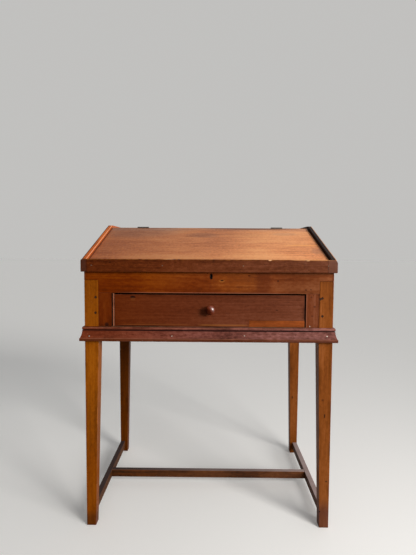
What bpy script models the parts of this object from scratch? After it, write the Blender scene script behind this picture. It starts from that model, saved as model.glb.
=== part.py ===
"""Schoolmaster's desk: a slant-lid writing box with one drawer, on a tapered-leg frame.

Metres, +Z up, and the front faces -Y. The origin is on the floor, in the middle of the whole desk.
Every piece is drawn from the front plane of the case, where y is 0. The lid's pieces hang on a frame
that lies on the hinge axis and tilts with the lid.
"""

from math import asin, cos, pi, radians, sin, tan

import bmesh
import bpy
from mathutils import Vector

# Case
CASE_WIDTH = 0.914
CASE_DEPTH = 0.635
CASE_HEIGHT = 0.439
SIDE_THICKNESS = 0.020
SIDE_TONGUE = 0.005
BACK_THICKNESS = 0.018
FLOOR_THICKNESS = 0.013
CLEAT_SECTION = 0.022

# Legs and stretchers
LEG_SECTION = 0.051
FOOT_SECTION = 0.035
TAPER_DROP = 0.015
STRETCHER_WIDTH = 0.022
STRETCHER_HEIGHT = 0.032
STRETCHER_BOTTOM = 0.023
STRETCHER_INSET = 0.001
TENON_SHOULDER = 0.006
TENON_LENGTH = 0.018

# Front frame and drawer opening
FRONT_THICKNESS = 0.020
RAIL_HEIGHT = 0.0943
RAIL_NOTCH = 0.046
STILE_WIDTH = 0.049
LOWER_RAIL_DEPTH = 0.045

# Waist moulding, from its bottom fillet up to its bead
MOULDING_HEIGHT = 0.053
MOULDING_REACH = 0.0165
FILLET_HEIGHT = 0.012
FILLET_ROUND = 0.003
FILLET_STEP = 0.002
FLARE_STEPS = 6
FLARE_BEND = 1.2
BEAD_HEIGHT = 0.011
BEAD_REACH = 0.008
BEAD_ROUND = 0.005
QUIRK_HEIGHT = 0.002
QUIRK_DEPTH = 0.002
ROUND_STEPS = 4

# Lid and level top
HINGE_LINE = 0.410
TOP_SURFACE = 1.148
LID_SLOPE = radians(19.8)
LID_THICKNESS = 0.018
LID_JOINT = 0.0012
TOP_THICKNESS = 0.018
TOP_OVERHANG = 0.008
LIP_THICKNESS = 0.017
LIP_OVERHANG = 0.008
LIP_PROUD = 0.0105
LID_LIP_SETBACK = 0.004
TOP_LIP_SETBACK = 0.014
FRONT_LIP_HEIGHT = 0.047
FRONT_LIP_THICKNESS = 0.017
FRONT_LIP_CORNER = 0.007
LIP_CORNER_STEPS = 3

# Butt hinges
HINGE_INSET = 0.151
HINGE_LENGTH = 0.052
KNUCKLE_COUNT = 5
KNUCKLE_RADIUS = 0.0042
KNUCKLE_GAP = 0.0005
KNUCKLE_STEPS = 20
PIN_RADIUS = 0.0020
PIN_PLAY = 0.0002
LEAF_THICKNESS = 0.0018
LEAF_DROP = 0.015
LEAF_GAP = 0.0006

# Drawer
DRAWER_LENGTH = 0.500
DRAWER_SIDE_GAP = 0.0046
DRAWER_TOP_GAP = 0.0058
DRAWER_FOOT_GAP = 0.0015
DRAWER_SIDE_THICKNESS = 0.012
DRAWER_SIDE_DROP = 0.003
DRAWER_BACK_THICKNESS = 0.012
DRAWER_BOTTOM_THICKNESS = 0.008
GROOVE_RISE = 0.010
GROOVE_DEPTH = 0.006
SOCKET_LAP = 0.007
TAIL_COUNT = 3
PIN_WIDTH = 0.010
TAIL_SLOPE = 1 / 6
PATCH_LENGTH = 0.205
PATCH_HEIGHT = 0.025
PATCH_DEPTH = 0.005
SLIP_WIDTH = 0.0056
SLIP_RISE = 0.0035

# Drawer carriage
RUNNER_BEARING = 0.022
RUNNER_THICKNESS = 0.020
GUIDE_WIDTH = 0.018
GUIDE_HEIGHT = 0.028
STOP_LENGTH = 0.030
STOP_HEIGHT = 0.025

# Knob
KNOB_X = 0.006
KNOB_RISE = 0.005
KNOB_RADIUS = 0.018
KNOB_REACH = 0.032
KNOB_DOME = 0.010
KNOB_BASE_RADIUS = 0.0105
KNOB_NECK_RADIUS = 0.0080
KNOB_SPIGOT_RADIUS = 0.0065
KNOB_STEPS = 32
KNOB_ARC_STEPS = 5

# Lock
KEYHOLE_X = 0.009
KEYHOLE_RADIUS = 0.0045
KEYHOLE_FOOT_RADIUS = 0.0040
KEYHOLE_SLOT_WIDTH = 0.0060
KEYHOLE_SLOT_DROP = 0.0150
KEYHOLE_DROP = 0.0345
KEYHOLE_STEPS = 12
LOCK_WIDTH = 0.072
LOCK_HEIGHT = 0.062
LOCK_DEPTH = 0.020
LOCK_HEADROOM = 0.003
LOCK_WALL = 0.0022
BOLT_LENGTH = 0.022
BOLT_HEIGHT = 0.014
BOLT_DEPTH = 0.005
BOLT_NOSE_RADIUS = 0.0020
BOLT_NOSE_LENGTH = 0.009
BOLT_TRAVEL = 0.008
BOLT_PLAY = 0.0004
BOLT_STEPS = 16
TALON_RADIUS = 0.004
STAPLE_WIDTH = 0.0085
STAPLE_THICKNESS = 0.0030
STAPLE_HOLE_RADIUS = 0.0027
STAPLE_HOLE_DEPTH = 0.0135
STAPLE_OFFSET = 0.014
LINK_LENGTH = 0.046
LINK_WIDTH = 0.016
LINK_THICKNESS = 0.0018

# Clearances
FIT = 0.0003
OVERCUT = 0.002
EASE = 0.0012
EASE_STEPS = 2
SHARP_ANGLE = radians(35)

# Levels and half widths that several pieces share
HALF_WIDTH = CASE_WIDTH / 2
INSIDE_HALF = HALF_WIDTH - SIDE_THICKNESS - FIT
POST_INNER = HALF_WIDTH - LEG_SECTION
BETWEEN_POSTS = POST_INNER - FIT
TONGUE_INNER = HALF_WIDTH - SIDE_TONGUE
BACK_FACE = CASE_DEPTH - BACK_THICKNESS
HINGE_X = HALF_WIDTH - HINGE_INSET
CASE_BOTTOM = TOP_SURFACE - CASE_HEIGHT
WAIST = CASE_BOTTOM + MOULDING_HEIGHT
FRONT_TOP = TOP_SURFACE - LID_THICKNESS / cos(LID_SLOPE) - HINGE_LINE * tan(LID_SLOPE)
OPENING_HALF = POST_INNER - STILE_WIDTH
OPENING_TOP = FRONT_TOP - RAIL_HEIGHT
POST_TOP = OPENING_TOP + RAIL_NOTCH
TAPER_TOP = CASE_BOTTOM - TAPER_DROP
TOP_UNDERSIDE = TOP_SURFACE - TOP_THICKNESS
LID_END = HALF_WIDTH + LIP_OVERHANG - LIP_THICKNESS - FIT
LIP_OUTER = HALF_WIDTH + LIP_OVERHANG
DRAWER_HALF = OPENING_HALF - DRAWER_SIDE_GAP
DRAWER_FOOT = WAIST + DRAWER_FOOT_GAP
DRAWER_TOP = OPENING_TOP - DRAWER_TOP_GAP
SIDES = (("left", -1), ("right", 1))

# Front of the whole desk, from the case's front plane, and the origin's place behind it
FRONT_REACH = max(KNOB_REACH, FRONT_LIP_THICKNESS + FIT, MOULDING_REACH)
ORIGIN_Y = (CASE_DEPTH + TOP_OVERHANG - FRONT_REACH) / 2

# Colour, roughness and metallic value of each finish
FINISHES = {
    "post": ((0.230, 0.062, 0.010), 0.45, 0.0),
    "rail": ((0.160, 0.036, 0.006), 0.42, 0.0),
    "lid": ((0.400, 0.150, 0.065), 0.38, 0.0),
    "lip": ((0.120, 0.030, 0.010), 0.42, 0.0),
    "moulding": ((0.165, 0.048, 0.026), 0.48, 0.0),
    "drawer": ((0.115, 0.026, 0.008), 0.42, 0.0),
    "patch": ((0.240, 0.054, 0.012), 0.45, 0.0),
    "slip": ((0.300, 0.100, 0.052), 0.45, 0.0),
    "stretcher": ((0.110, 0.038, 0.016), 0.55, 0.0),
    "inside": ((0.330, 0.190, 0.090), 0.65, 0.0),
    "iron": ((0.060, 0.052, 0.045), 0.50, 0.9),
    "brass": ((0.420, 0.290, 0.110), 0.40, 0.9),
}


def empty(name, parent=None, location=(0, 0, 0), tilt=0.0):
    """A bare frame that pieces hang on."""
    frame = bpy.data.objects.new(name, None)
    bpy.context.collection.objects.link(frame)
    frame.parent = parent
    frame.location = location
    frame.rotation_euler.x = tilt
    return frame


def loft(bm, rings):
    """Skin a closed body over rings of points that match one to one."""
    rows = [[bm.verts.new(point) for point in ring] for ring in rings]
    count = len(rows[0])
    for row, after in zip(rows, rows[1:]):
        for i in range(count):
            j = (i + 1) % count
            bm.faces.new((row[i], row[j], after[j], after[i]))
    bm.faces.new(rows[0])
    bm.faces.new(rows[-1])
    bmesh.ops.recalc_face_normals(bm, faces=bm.faces)


def box(bm, x, y, z):
    """A block between two values on each axis."""
    corners = ((x[0], y[0]), (x[1], y[0]), (x[1], y[1]), (x[0], y[1]))
    loft(bm, [[(cx, cy, level) for cx, cy in corners] for level in z])


def slab(bm, outline, x):
    """An outline of (y, z) points, thickened along X."""
    loft(bm, [[(place, y, z) for y, z in outline] for place in x])


def panel(bm, outline, y):
    """An outline of (x, z) points, thickened along Y."""
    loft(bm, [[(x, place, z) for x, z in outline] for place in y])


def rod(bm, radius, x, steps, centre=(0.0, 0.0)):
    """A round bar along X about a centre in (y, z)."""
    turns = [2 * pi * i / steps for i in range(steps)]
    slab(bm, [(centre[0] + radius * cos(t), centre[1] + radius * sin(t)) for t in turns], x)


def turned(bm, profile, centre, steps):
    """A turned body: a profile of (radius, y) about a line along Y through a centre in (x, z)."""
    turns = [2 * pi * i / steps for i in range(steps)]
    loft(bm, [[(centre[0] + r * cos(t), y, centre[1] + r * sin(t)) for t in turns] for r, y in profile])


def arc(centre, radius, start, end, steps):
    """Points on a round stretch, with its angles in quarter turns."""
    angles = [(start + (end - start) * i / steps) * pi / 2 for i in range(steps + 1)]
    return [(centre[0] + radius * cos(a), centre[1] + radius * sin(a)) for a in angles]


def spread(sign, inner, outer):
    """The X values of a piece on the left (-1) or the right (1)."""
    return sorted((sign * inner, sign * outer))


def ease(bm, edges=None):
    """Round over the sharp outer arrises, as handling does."""
    if edges is None:
        edges = [e for e in bm.edges if e.is_convex and e.calc_face_angle(0) > SHARP_ANGLE]
    bmesh.ops.bevel(bm, geom=edges, offset=EASE, offset_type="OFFSET", segments=EASE_STEPS, profile=0.5,
                    affect="EDGES", clamp_overlap=True, material=-1)


def add_tenon(bm, direction):
    """Grow a shouldered tenon on the end face that lies farthest along a direction."""
    way = Vector(direction)
    end = max(bm.faces, key=lambda face: face.calc_center_median().dot(way))
    bmesh.ops.inset_individual(bm, faces=[end], thickness=TENON_SHOULDER, use_even_offset=True)
    grown = bmesh.ops.extrude_discrete_faces(bm, faces=[end])["faces"][0]
    bmesh.ops.translate(bm, verts=grown.verts, vec=way * TENON_LENGTH)


def mortise(bm, x, y, z):
    """A pocket that takes the tenon of a bar, from the bar's own section and the tenon's reach."""
    pockets = []
    for low, high, is_length in (x, y, z):
        margin = FIT if is_length else FIT - TENON_SHOULDER
        pockets.append((low - margin, high + margin))
    box(bm, *pockets)


def finish(name, kind):
    """A material of its own for one piece."""
    colour, roughness, metallic = FINISHES[kind]
    material = bpy.data.materials.new(name)
    material.use_nodes = True
    shader = material.node_tree.nodes["Principled BSDF"]
    shader.inputs["Base Color"].default_value = (*colour, 1.0)
    shader.inputs["Roughness"].default_value = roughness
    shader.inputs["Metallic"].default_value = metallic
    material.diffuse_color = (*colour, 1.0)
    return material


def place(name, bm, parent):
    """Turn a bmesh into an object on its parent frame."""
    mesh = bpy.data.meshes.new(name)
    bm.to_mesh(mesh)
    bm.free()
    thing = bpy.data.objects.new(name, mesh)
    bpy.context.collection.objects.link(thing)
    thing.parent = parent
    return thing


def piece(name, bm, kind, parent):
    """A finished piece of the desk."""
    thing = place(name, bm, parent)
    thing.data.materials.append(finish(name, kind))
    thing.data.shade_smooth()
    thing.data.set_sharp_from_angle(angle=SHARP_ANGLE)
    return thing


def combine(thing, bm, operation, parent=None):
    """Cut a hidden tool out of a piece, or join it on."""
    tool = place(f"{thing.name}_tool_{len(thing.modifiers)}", bm, parent or thing.parent)
    tool.hide_render = True
    tool.display_type = "WIRE"
    boolean = thing.modifiers.new(f"{operation.lower()}_{len(thing.modifiers)}", "BOOLEAN")
    boolean.operation = operation
    boolean.object = tool


def cut(thing, bm, parent=None):
    combine(thing, bm, "DIFFERENCE", parent)


def join(thing, bm, parent=None):
    combine(thing, bm, "UNION", parent)


def leg_section(level):
    """Width of a leg at a height: full above the taper, narrowing evenly to the foot."""
    return FOOT_SECTION + (LEG_SECTION - FOOT_SECTION) * min(level / TAPER_TOP, 1.0)


def lid_underside(y):
    """Height of the closed lid's underside at a distance behind the case front."""
    return FRONT_TOP + y * tan(LID_SLOPE)


def lid_plumb(y, z):
    """Place along the lid, at a depth z in it, of a plumb cut at a distance behind the case front."""
    return (y - HINGE_LINE + z * sin(LID_SLOPE)) / cos(LID_SLOPE)


def stretcher_levels():
    return STRETCHER_BOTTOM, STRETCHER_BOTTOM + STRETCHER_HEIGHT


def stretcher_x(sign):
    """A side stretcher stands just inside the outer faces of the legs it joins."""
    outer = HALF_WIDTH - STRETCHER_INSET
    return spread(sign, outer - STRETCHER_WIDTH, outer)


def cross_stretcher_y():
    return (CASE_DEPTH - STRETCHER_WIDTH) / 2, (CASE_DEPTH + STRETCHER_WIDTH) / 2


def lower_rail_section():
    return (FIT, LOWER_RAIL_DEPTH), (CASE_BOTTOM, WAIST)


def runner_section(sign):
    return spread(sign, OPENING_HALF - RUNNER_BEARING, BETWEEN_POSTS), (WAIST - RUNNER_THICKNESS, WAIST)


# Leg frame
def make_legs(desk):
    stretcher_z = stretcher_levels()
    rail_y, rail_z = lower_rail_section()
    for side, sign in SIDES:
        for end, back_edge, way in (("front", 0.0, 1), ("rear", CASE_DEPTH, -1)):
            bm = bmesh.new()
            rings = []
            for level in (0.0, TAPER_TOP, POST_TOP):
                x = spread(sign, HALF_WIDTH - leg_section(level), HALF_WIDTH)
                y = sorted((back_edge, back_edge + way * leg_section(level)))
                corners = ((x[0], y[0]), (x[1], y[0]), (x[1], y[1]), (x[0], y[1]))
                rings.append([(cx, cy, level) for cx, cy in corners])
            loft(bm, rings)
            ease(bm)
            leg = piece(f"leg_{end}_{side}", bm, "post", desk)

            # Mortise for the side stretcher, in the leg's inner face
            mouth = leg_section(stretcher_z[0])
            pocket = bmesh.new()
            reach = sorted((back_edge + way * (mouth - TENON_LENGTH), back_edge + way * (mouth + OVERCUT)))
            mortise(pocket, (*stretcher_x(sign), False), (*reach, True), (*stretcher_z, False))
            cut(leg, pocket)

            # Mortise for the lower rail, in the front legs only
            if end == "front":
                pocket = bmesh.new()
                reach = spread(sign, POST_INNER - OVERCUT, POST_INNER + TENON_LENGTH)
                mortise(pocket, (*reach, True), (*rail_y, False), (*rail_z, False))
                cut(leg, pocket)


def make_stretchers(desk):
    levels = stretcher_levels()
    cross_y = cross_stretcher_y()
    for side, sign in SIDES:
        front = [(leg_section(z) + FIT, z) for z in levels]
        outline = front + [(CASE_DEPTH - y, z) for y, z in reversed(front)]
        x = stretcher_x(sign)
        bm = bmesh.new()
        slab(bm, outline, x)
        arrises = [e for e in bm.edges if abs((e.verts[0].co - e.verts[1].co).y) > CASE_DEPTH / 2]
        add_tenon(bm, (0, -1, 0))
        add_tenon(bm, (0, 1, 0))
        ease(bm, arrises)
        stretcher = piece(f"side_stretcher_{side}", bm, "stretcher", desk)

        # The cross stretcher's tenon goes halfway into the side stretcher
        inner = min(abs(x[0]), abs(x[1]))
        pocket = bmesh.new()
        reach = spread(sign, inner - OVERCUT, inner + STRETCHER_WIDTH / 2)
        mortise(pocket, (*reach, True), (*cross_y, False), (*levels, False))
        cut(stretcher, pocket)

    inner = min(abs(value) for value in stretcher_x(1)) - FIT
    bm = bmesh.new()
    box(bm, (-inner, inner), cross_y, levels)
    arrises = [e for e in bm.edges if abs((e.verts[0].co - e.verts[1].co).x) > inner]
    for direction in ((-1, 0, 0), (1, 0, 0)):
        way = Vector(direction)
        add_tenon(bm, way)
        tip = max(bm.faces, key=lambda face: face.calc_center_median().dot(way))
        bmesh.ops.translate(bm, verts=tip.verts, vec=way * (STRETCHER_WIDTH / 2 - TENON_LENGTH))
    ease(bm, arrises)
    piece("cross_stretcher", bm, "stretcher", desk)


# Case boards
def make_sides(desk):
    shoulder = LEG_SECTION + FIT
    ledge = POST_TOP + FIT
    under_lid = [(y, lid_underside(y) - FIT) for y in (0.0, HINGE_LINE)]
    under_top = [(y, TOP_UNDERSIDE - FIT) for y in (HINGE_LINE, CASE_DEPTH)]
    outline = [(shoulder, CASE_BOTTOM), (shoulder, ledge), (0.0, ledge)]
    outline += under_lid + under_top
    outline += [(CASE_DEPTH, ledge), (CASE_DEPTH - shoulder, ledge), (CASE_DEPTH - shoulder, CASE_BOTTOM)]
    for side, sign in SIDES:
        bm = bmesh.new()
        slab(bm, outline, spread(sign, HALF_WIDTH - SIDE_THICKNESS, HALF_WIDTH))
        board = piece(f"side_board_{side}", bm, "rail", desk)

        # Rabbets that leave a thin tongue outside the front rail and the back board
        x = spread(sign, HALF_WIDTH - SIDE_THICKNESS - OVERCUT, TONGUE_INNER)
        z = (POST_TOP - OVERCUT, TOP_SURFACE)
        for y in ((-OVERCUT, FRONT_THICKNESS + FIT), (BACK_FACE - FIT, CASE_DEPTH + OVERCUT)):
            tool = bmesh.new()
            box(tool, x, y, z)
            cut(board, tool)


def notched_outline(bottom, top):
    """A board that stands between the posts below their tops and runs over them above."""
    ledge = POST_TOP + FIT
    wide = TONGUE_INNER - FIT
    right = [(BETWEEN_POSTS, bottom), (BETWEEN_POSTS, ledge), (wide, ledge), (wide, top)]
    return right + [(-x, z) for x, z in reversed(right)]


def make_back(desk):
    bm = bmesh.new()
    panel(bm, notched_outline(CASE_BOTTOM, TOP_UNDERSIDE - FIT), (BACK_FACE, CASE_DEPTH))
    piece("back_board", bm, "rail", desk)


def make_well_floor(desk):
    front = FRONT_THICKNESS + FIT
    post = LEG_SECTION + FIT
    quarter = [(BETWEEN_POSTS, front), (BETWEEN_POSTS, post), (INSIDE_HALF, post)]
    right = quarter + [(x, BACK_FACE - FIT if y == front else CASE_DEPTH - y) for x, y in reversed(quarter)]
    outline = right + [(-x, y) for x, y in reversed(right)]
    bm = bmesh.new()
    loft(bm, [[(x, y, z) for x, y in outline] for z in (OPENING_TOP, OPENING_TOP + FLOOR_THICKNESS)])
    piece("well_floor", bm, "inside", desk)

    for side, sign in SIDES:
        bm = bmesh.new()
        top = OPENING_TOP - FIT
        box(bm, spread(sign, INSIDE_HALF - CLEAT_SECTION, INSIDE_HALF), (post, CASE_DEPTH - post),
            (top - CLEAT_SECTION, top))
        piece(f"well_cleat_{side}", bm, "inside", desk)


# Front frame
def keyhole_outline(centre):
    """A round eye with a slot below it that ends in a round foot, as (x, z) points."""
    x, z = centre
    eye_mouth, foot_mouth = (asin(KEYHOLE_SLOT_WIDTH / 2 / radius) / (pi / 2)
                             for radius in (KEYHOLE_RADIUS, KEYHOLE_FOOT_RADIUS))
    foot = (x, z - KEYHOLE_SLOT_DROP + KEYHOLE_FOOT_RADIUS)
    return (arc(centre, KEYHOLE_RADIUS, eye_mouth - 1, 3 - eye_mouth, KEYHOLE_STEPS)
            + arc(foot, KEYHOLE_FOOT_RADIUS, 1 + foot_mouth, 5 - foot_mouth, KEYHOLE_STEPS))


def keyhole_centre():
    return KEYHOLE_X, lid_underside(FRONT_THICKNESS) - KEYHOLE_DROP


def make_front_frame(desk):
    rings = []
    for y in (0.0, FRONT_THICKNESS):
        outline = notched_outline(OPENING_TOP, lid_underside(y) - FIT)
        rings.append([(x, y, z) for x, z in outline])
    bm = bmesh.new()
    loft(bm, rings)
    rail = piece("front_rail", bm, "rail", desk)
    tool = bmesh.new()
    panel(tool, keyhole_outline(keyhole_centre()), (-OVERCUT, FRONT_THICKNESS + OVERCUT))
    cut(rail, tool)

    for side, sign in SIDES:
        bm = bmesh.new()
        box(bm, spread(sign, OPENING_HALF, BETWEEN_POSTS), (0.0, FRONT_THICKNESS),
            (WAIST + FIT, OPENING_TOP - FIT))
        piece(f"front_stile_{side}", bm, "rail", desk)

    rail_y, rail_z = lower_rail_section()
    bm = bmesh.new()
    box(bm, (-BETWEEN_POSTS, BETWEEN_POSTS), rail_y, rail_z)
    add_tenon(bm, (-1, 0, 0))
    add_tenon(bm, (1, 0, 0))
    lower = piece("lower_rail", bm, "inside", desk)
    for side, sign in SIDES:
        x, z = runner_section(sign)
        pocket = bmesh.new()
        reach = (LOWER_RAIL_DEPTH - TENON_LENGTH, LOWER_RAIL_DEPTH + OVERCUT)
        mortise(pocket, (*x, False), (*reach, True), (*z, False))
        cut(lower, pocket)


# Waist moulding
def moulding_profile():
    """Points of (reach, height): rounded bottom fillet, flared hollow, quirk and round-topped bead."""
    top = MOULDING_HEIGHT
    bead = top - BEAD_HEIGHT
    flare_low = MOULDING_REACH - FILLET_STEP
    flare_high = BEAD_REACH - QUIRK_DEPTH / 2
    turn = FILLET_ROUND
    points = [(FIT, 0.0)]
    points += arc((MOULDING_REACH - turn, turn), turn, -1, 0, ROUND_STEPS)
    points += arc((flare_low, FILLET_HEIGHT - FILLET_STEP), FILLET_STEP, 0, 1, ROUND_STEPS)
    for i in range(1, FLARE_STEPS + 1):
        rise = i / FLARE_STEPS
        reach = flare_high + (flare_low - flare_high) * (1 - rise) ** FLARE_BEND
        points.append((reach, FILLET_HEIGHT + (bead - QUIRK_HEIGHT - FILLET_HEIGHT) * rise))
    quirk = flare_high - QUIRK_DEPTH
    points += [(quirk, bead - QUIRK_HEIGHT), (quirk, bead), (BEAD_REACH, bead)]
    points += arc((BEAD_REACH - BEAD_ROUND, top - BEAD_ROUND), BEAD_ROUND, 0, 1, ROUND_STEPS)
    points.append((FIT, top))
    return [(reach, CASE_BOTTOM + height) for reach, height in points]


def make_mouldings(desk):
    profile = moulding_profile()
    bm = bmesh.new()
    loft(bm, [[(sign * (HALF_WIDTH + r - FIT), -r, z) for r, z in profile] for side, sign in SIDES])
    piece("moulding_front", bm, "moulding", desk)
    for side, sign in SIDES:
        front = [(sign * (HALF_WIDTH + r), FIT - r, z) for r, z in profile]
        back = [(sign * (HALF_WIDTH + r), CASE_DEPTH, z) for r, z in profile]
        bm = bmesh.new()
        loft(bm, [front, back])
        piece(f"moulding_{side}", bm, "moulding", desk)


# Level top behind the lid
def hinge_recess(way):
    """Outline in (y, z), about the hinge axis, of the seat of a leaf and its knuckles in a board's edge."""
    leaf = way * (LEAF_GAP / 2 + LEAF_THICKNESS + FIT)
    knuckle = way * (KNUCKLE_RADIUS + FIT)
    clear = -way * OVERCUT
    low, waist, high = -LEAF_DROP - FIT, -KNUCKLE_RADIUS - FIT, KNUCKLE_RADIUS
    return [(clear, low), (leaf, low), (leaf, waist), (knuckle, waist), (knuckle, high), (clear, high)]


def hinge_seats(way):
    """The two hinges' recesses as one tool."""
    tool = bmesh.new()
    half = HINGE_LENGTH / 2 + FIT
    for side, sign in SIDES:
        centre = sign * HINGE_X
        slab(tool, hinge_recess(way), (centre - half, centre + half))
    return tool


def make_top(desk, hinge_axis):
    bm = bmesh.new()
    rear = CASE_DEPTH + TOP_OVERHANG
    box(bm, (-LID_END, LID_END), (HINGE_LINE + LID_JOINT / 2, rear), (TOP_UNDERSIDE, TOP_SURFACE))
    ease(bm)
    top = piece("top_board", bm, "lid", desk)
    cut(top, hinge_seats(1), hinge_axis)
    for side, sign in SIDES:
        bm = bmesh.new()
        box(bm, spread(sign, LID_END + FIT, LIP_OUTER), (HINGE_LINE + TOP_LIP_SETBACK, rear),
            (TOP_UNDERSIDE, TOP_SURFACE + LIP_PROUD))
        ease(bm)
        piece(f"top_lip_{side}", bm, "lip", desk)


# Lid, drawn flat about the hinge axis
def make_lid(lid, lid_upright):
    rear = HINGE_LINE - LID_JOINT / 2
    levels = (-LID_THICKNESS, 0.0)
    outline = [(lid_plumb(0.0, z), z) for z in levels] + [(lid_plumb(rear, z), z) for z in reversed(levels)]
    bm = bmesh.new()
    slab(bm, outline, (-LID_END, LID_END))
    ease(bm)
    board = piece("lid_board", bm, "lid", lid)
    cut(board, hinge_seats(-1), lid_upright)

    link_y, link_z = link_seat()
    tool = bmesh.new()
    half = LINK_LENGTH / 2 + FIT
    centre = KEYHOLE_X + STAPLE_OFFSET
    box(tool, (centre - half, centre + half), (link_y[0] - FIT, link_y[1] + FIT),
        (link_z[0] - OVERCUT, link_z[1] + FIT))
    cut(board, tool)

    levels = (-LID_THICKNESS, LIP_PROUD)
    rear = HINGE_LINE - LID_LIP_SETBACK
    outline = [(lid_plumb(0.0, z), z) for z in levels] + [(lid_plumb(rear, z), z) for z in reversed(levels)]
    for side, sign in SIDES:
        bm = bmesh.new()
        slab(bm, outline, spread(sign, LID_END + FIT, LIP_OUTER))
        ease(bm)
        piece(f"lid_lip_{side}", bm, "lip", lid)

    # Plumb strip across the front with worn top corners, level with the end lips where they meet it
    rise = (LIP_PROUD - HINGE_LINE * sin(LID_SLOPE)) / cos(LID_SLOPE)
    foot, shoulder = rise - FRONT_LIP_HEIGHT, LIP_OUTER - FRONT_LIP_CORNER
    outline = [(-LIP_OUTER, foot), (LIP_OUTER, foot)]
    for sign, start in ((1, 0), (-1, 1)):
        centre = (sign * shoulder, rise - FRONT_LIP_CORNER)
        outline += arc(centre, FRONT_LIP_CORNER, start, start + 1, LIP_CORNER_STEPS)
    bm = bmesh.new()
    panel(bm, outline, (-HINGE_LINE - FRONT_LIP_THICKNESS - FIT, -HINGE_LINE - FIT))
    ease(bm)
    piece("lid_front_lip", bm, "lip", lid_upright)


# Hinges, drawn about their own axis
def knuckle_spans(centre, mine):
    """X values of every other knuckle along one hinge."""
    pitch = HINGE_LENGTH / KNUCKLE_COUNT
    start = centre - HINGE_LENGTH / 2
    return [(start + pitch * i + KNUCKLE_GAP / 2, start + pitch * (i + 1) - KNUCKLE_GAP / 2)
            for i in range(mine, KNUCKLE_COUNT, 2)]


def make_leaf(name, centre, mine, way, parent):
    """A flat leaf with teeth that roll into its knuckles."""
    half = HINGE_LENGTH / 2
    shelf = -KNUCKLE_RADIUS - FIT
    spans = knuckle_spans(centre, mine)
    outline = [(centre - half, -LEAF_DROP), (centre - half, shelf)]
    for start, end in spans:
        outline += [(start, shelf), (start, 0.0), (end, 0.0), (end, shelf)]
    outline += [(centre + half, shelf), (centre + half, -LEAF_DROP)]
    bm = bmesh.new()
    panel(bm, outline, sorted((way * LEAF_GAP / 2, way * (LEAF_GAP / 2 + LEAF_THICKNESS))))
    leaf = piece(name, bm, "iron", parent)
    barrels = bmesh.new()
    for span in spans:
        rod(barrels, KNUCKLE_RADIUS, span, KNUCKLE_STEPS)
    join(leaf, barrels)
    bore = bmesh.new()
    rod(bore, PIN_RADIUS + PIN_PLAY, (centre - half - OVERCUT, centre + half + OVERCUT), KNUCKLE_STEPS)
    cut(leaf, bore)


def make_hinges(hinge_axis, lid_upright):
    for side, sign in SIDES:
        centre = sign * HINGE_X
        make_leaf(f"hinge_top_leaf_{side}", centre, 0, 1, hinge_axis)
        make_leaf(f"hinge_lid_leaf_{side}", centre, 1, -1, lid_upright)
        bm = bmesh.new()
        rod(bm, PIN_RADIUS, (centre - HINGE_LENGTH / 2, centre + HINGE_LENGTH / 2), KNUCKLE_STEPS)
        piece(f"hinge_pin_{side}", bm, "iron", hinge_axis)


# Drawer
def tails(low, high, count):
    """Root heights of the dovetails that share a board's end evenly, with half pins outside them."""
    root = (high - low) / count - PIN_WIDTH
    starts = [low + PIN_WIDTH / 2 + i * (root + PIN_WIDTH) for i in range(count)]
    return [(start, start + root) for start in starts]


def tail_shape(shoulder, tip, root, margin=0.0):
    """One dovetail as (y, z) points, flaring from its shoulder to its tip."""
    flare = abs(tip - shoulder) * TAIL_SLOPE
    low, high = root[0] - margin, root[1] + margin
    return [(shoulder, low), (tip, low - flare), (tip, high + flare), (shoulder, high)]


def drawer_heights():
    """Heights of a drawer side, and of the back that stands on the bottom board."""
    side = (WAIST + FIT, DRAWER_TOP - DRAWER_SIDE_DROP)
    back = (side[0] + GROOVE_RISE + DRAWER_BOTTOM_THICKNESS + 2 * FIT, side[1])
    return side, back


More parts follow.
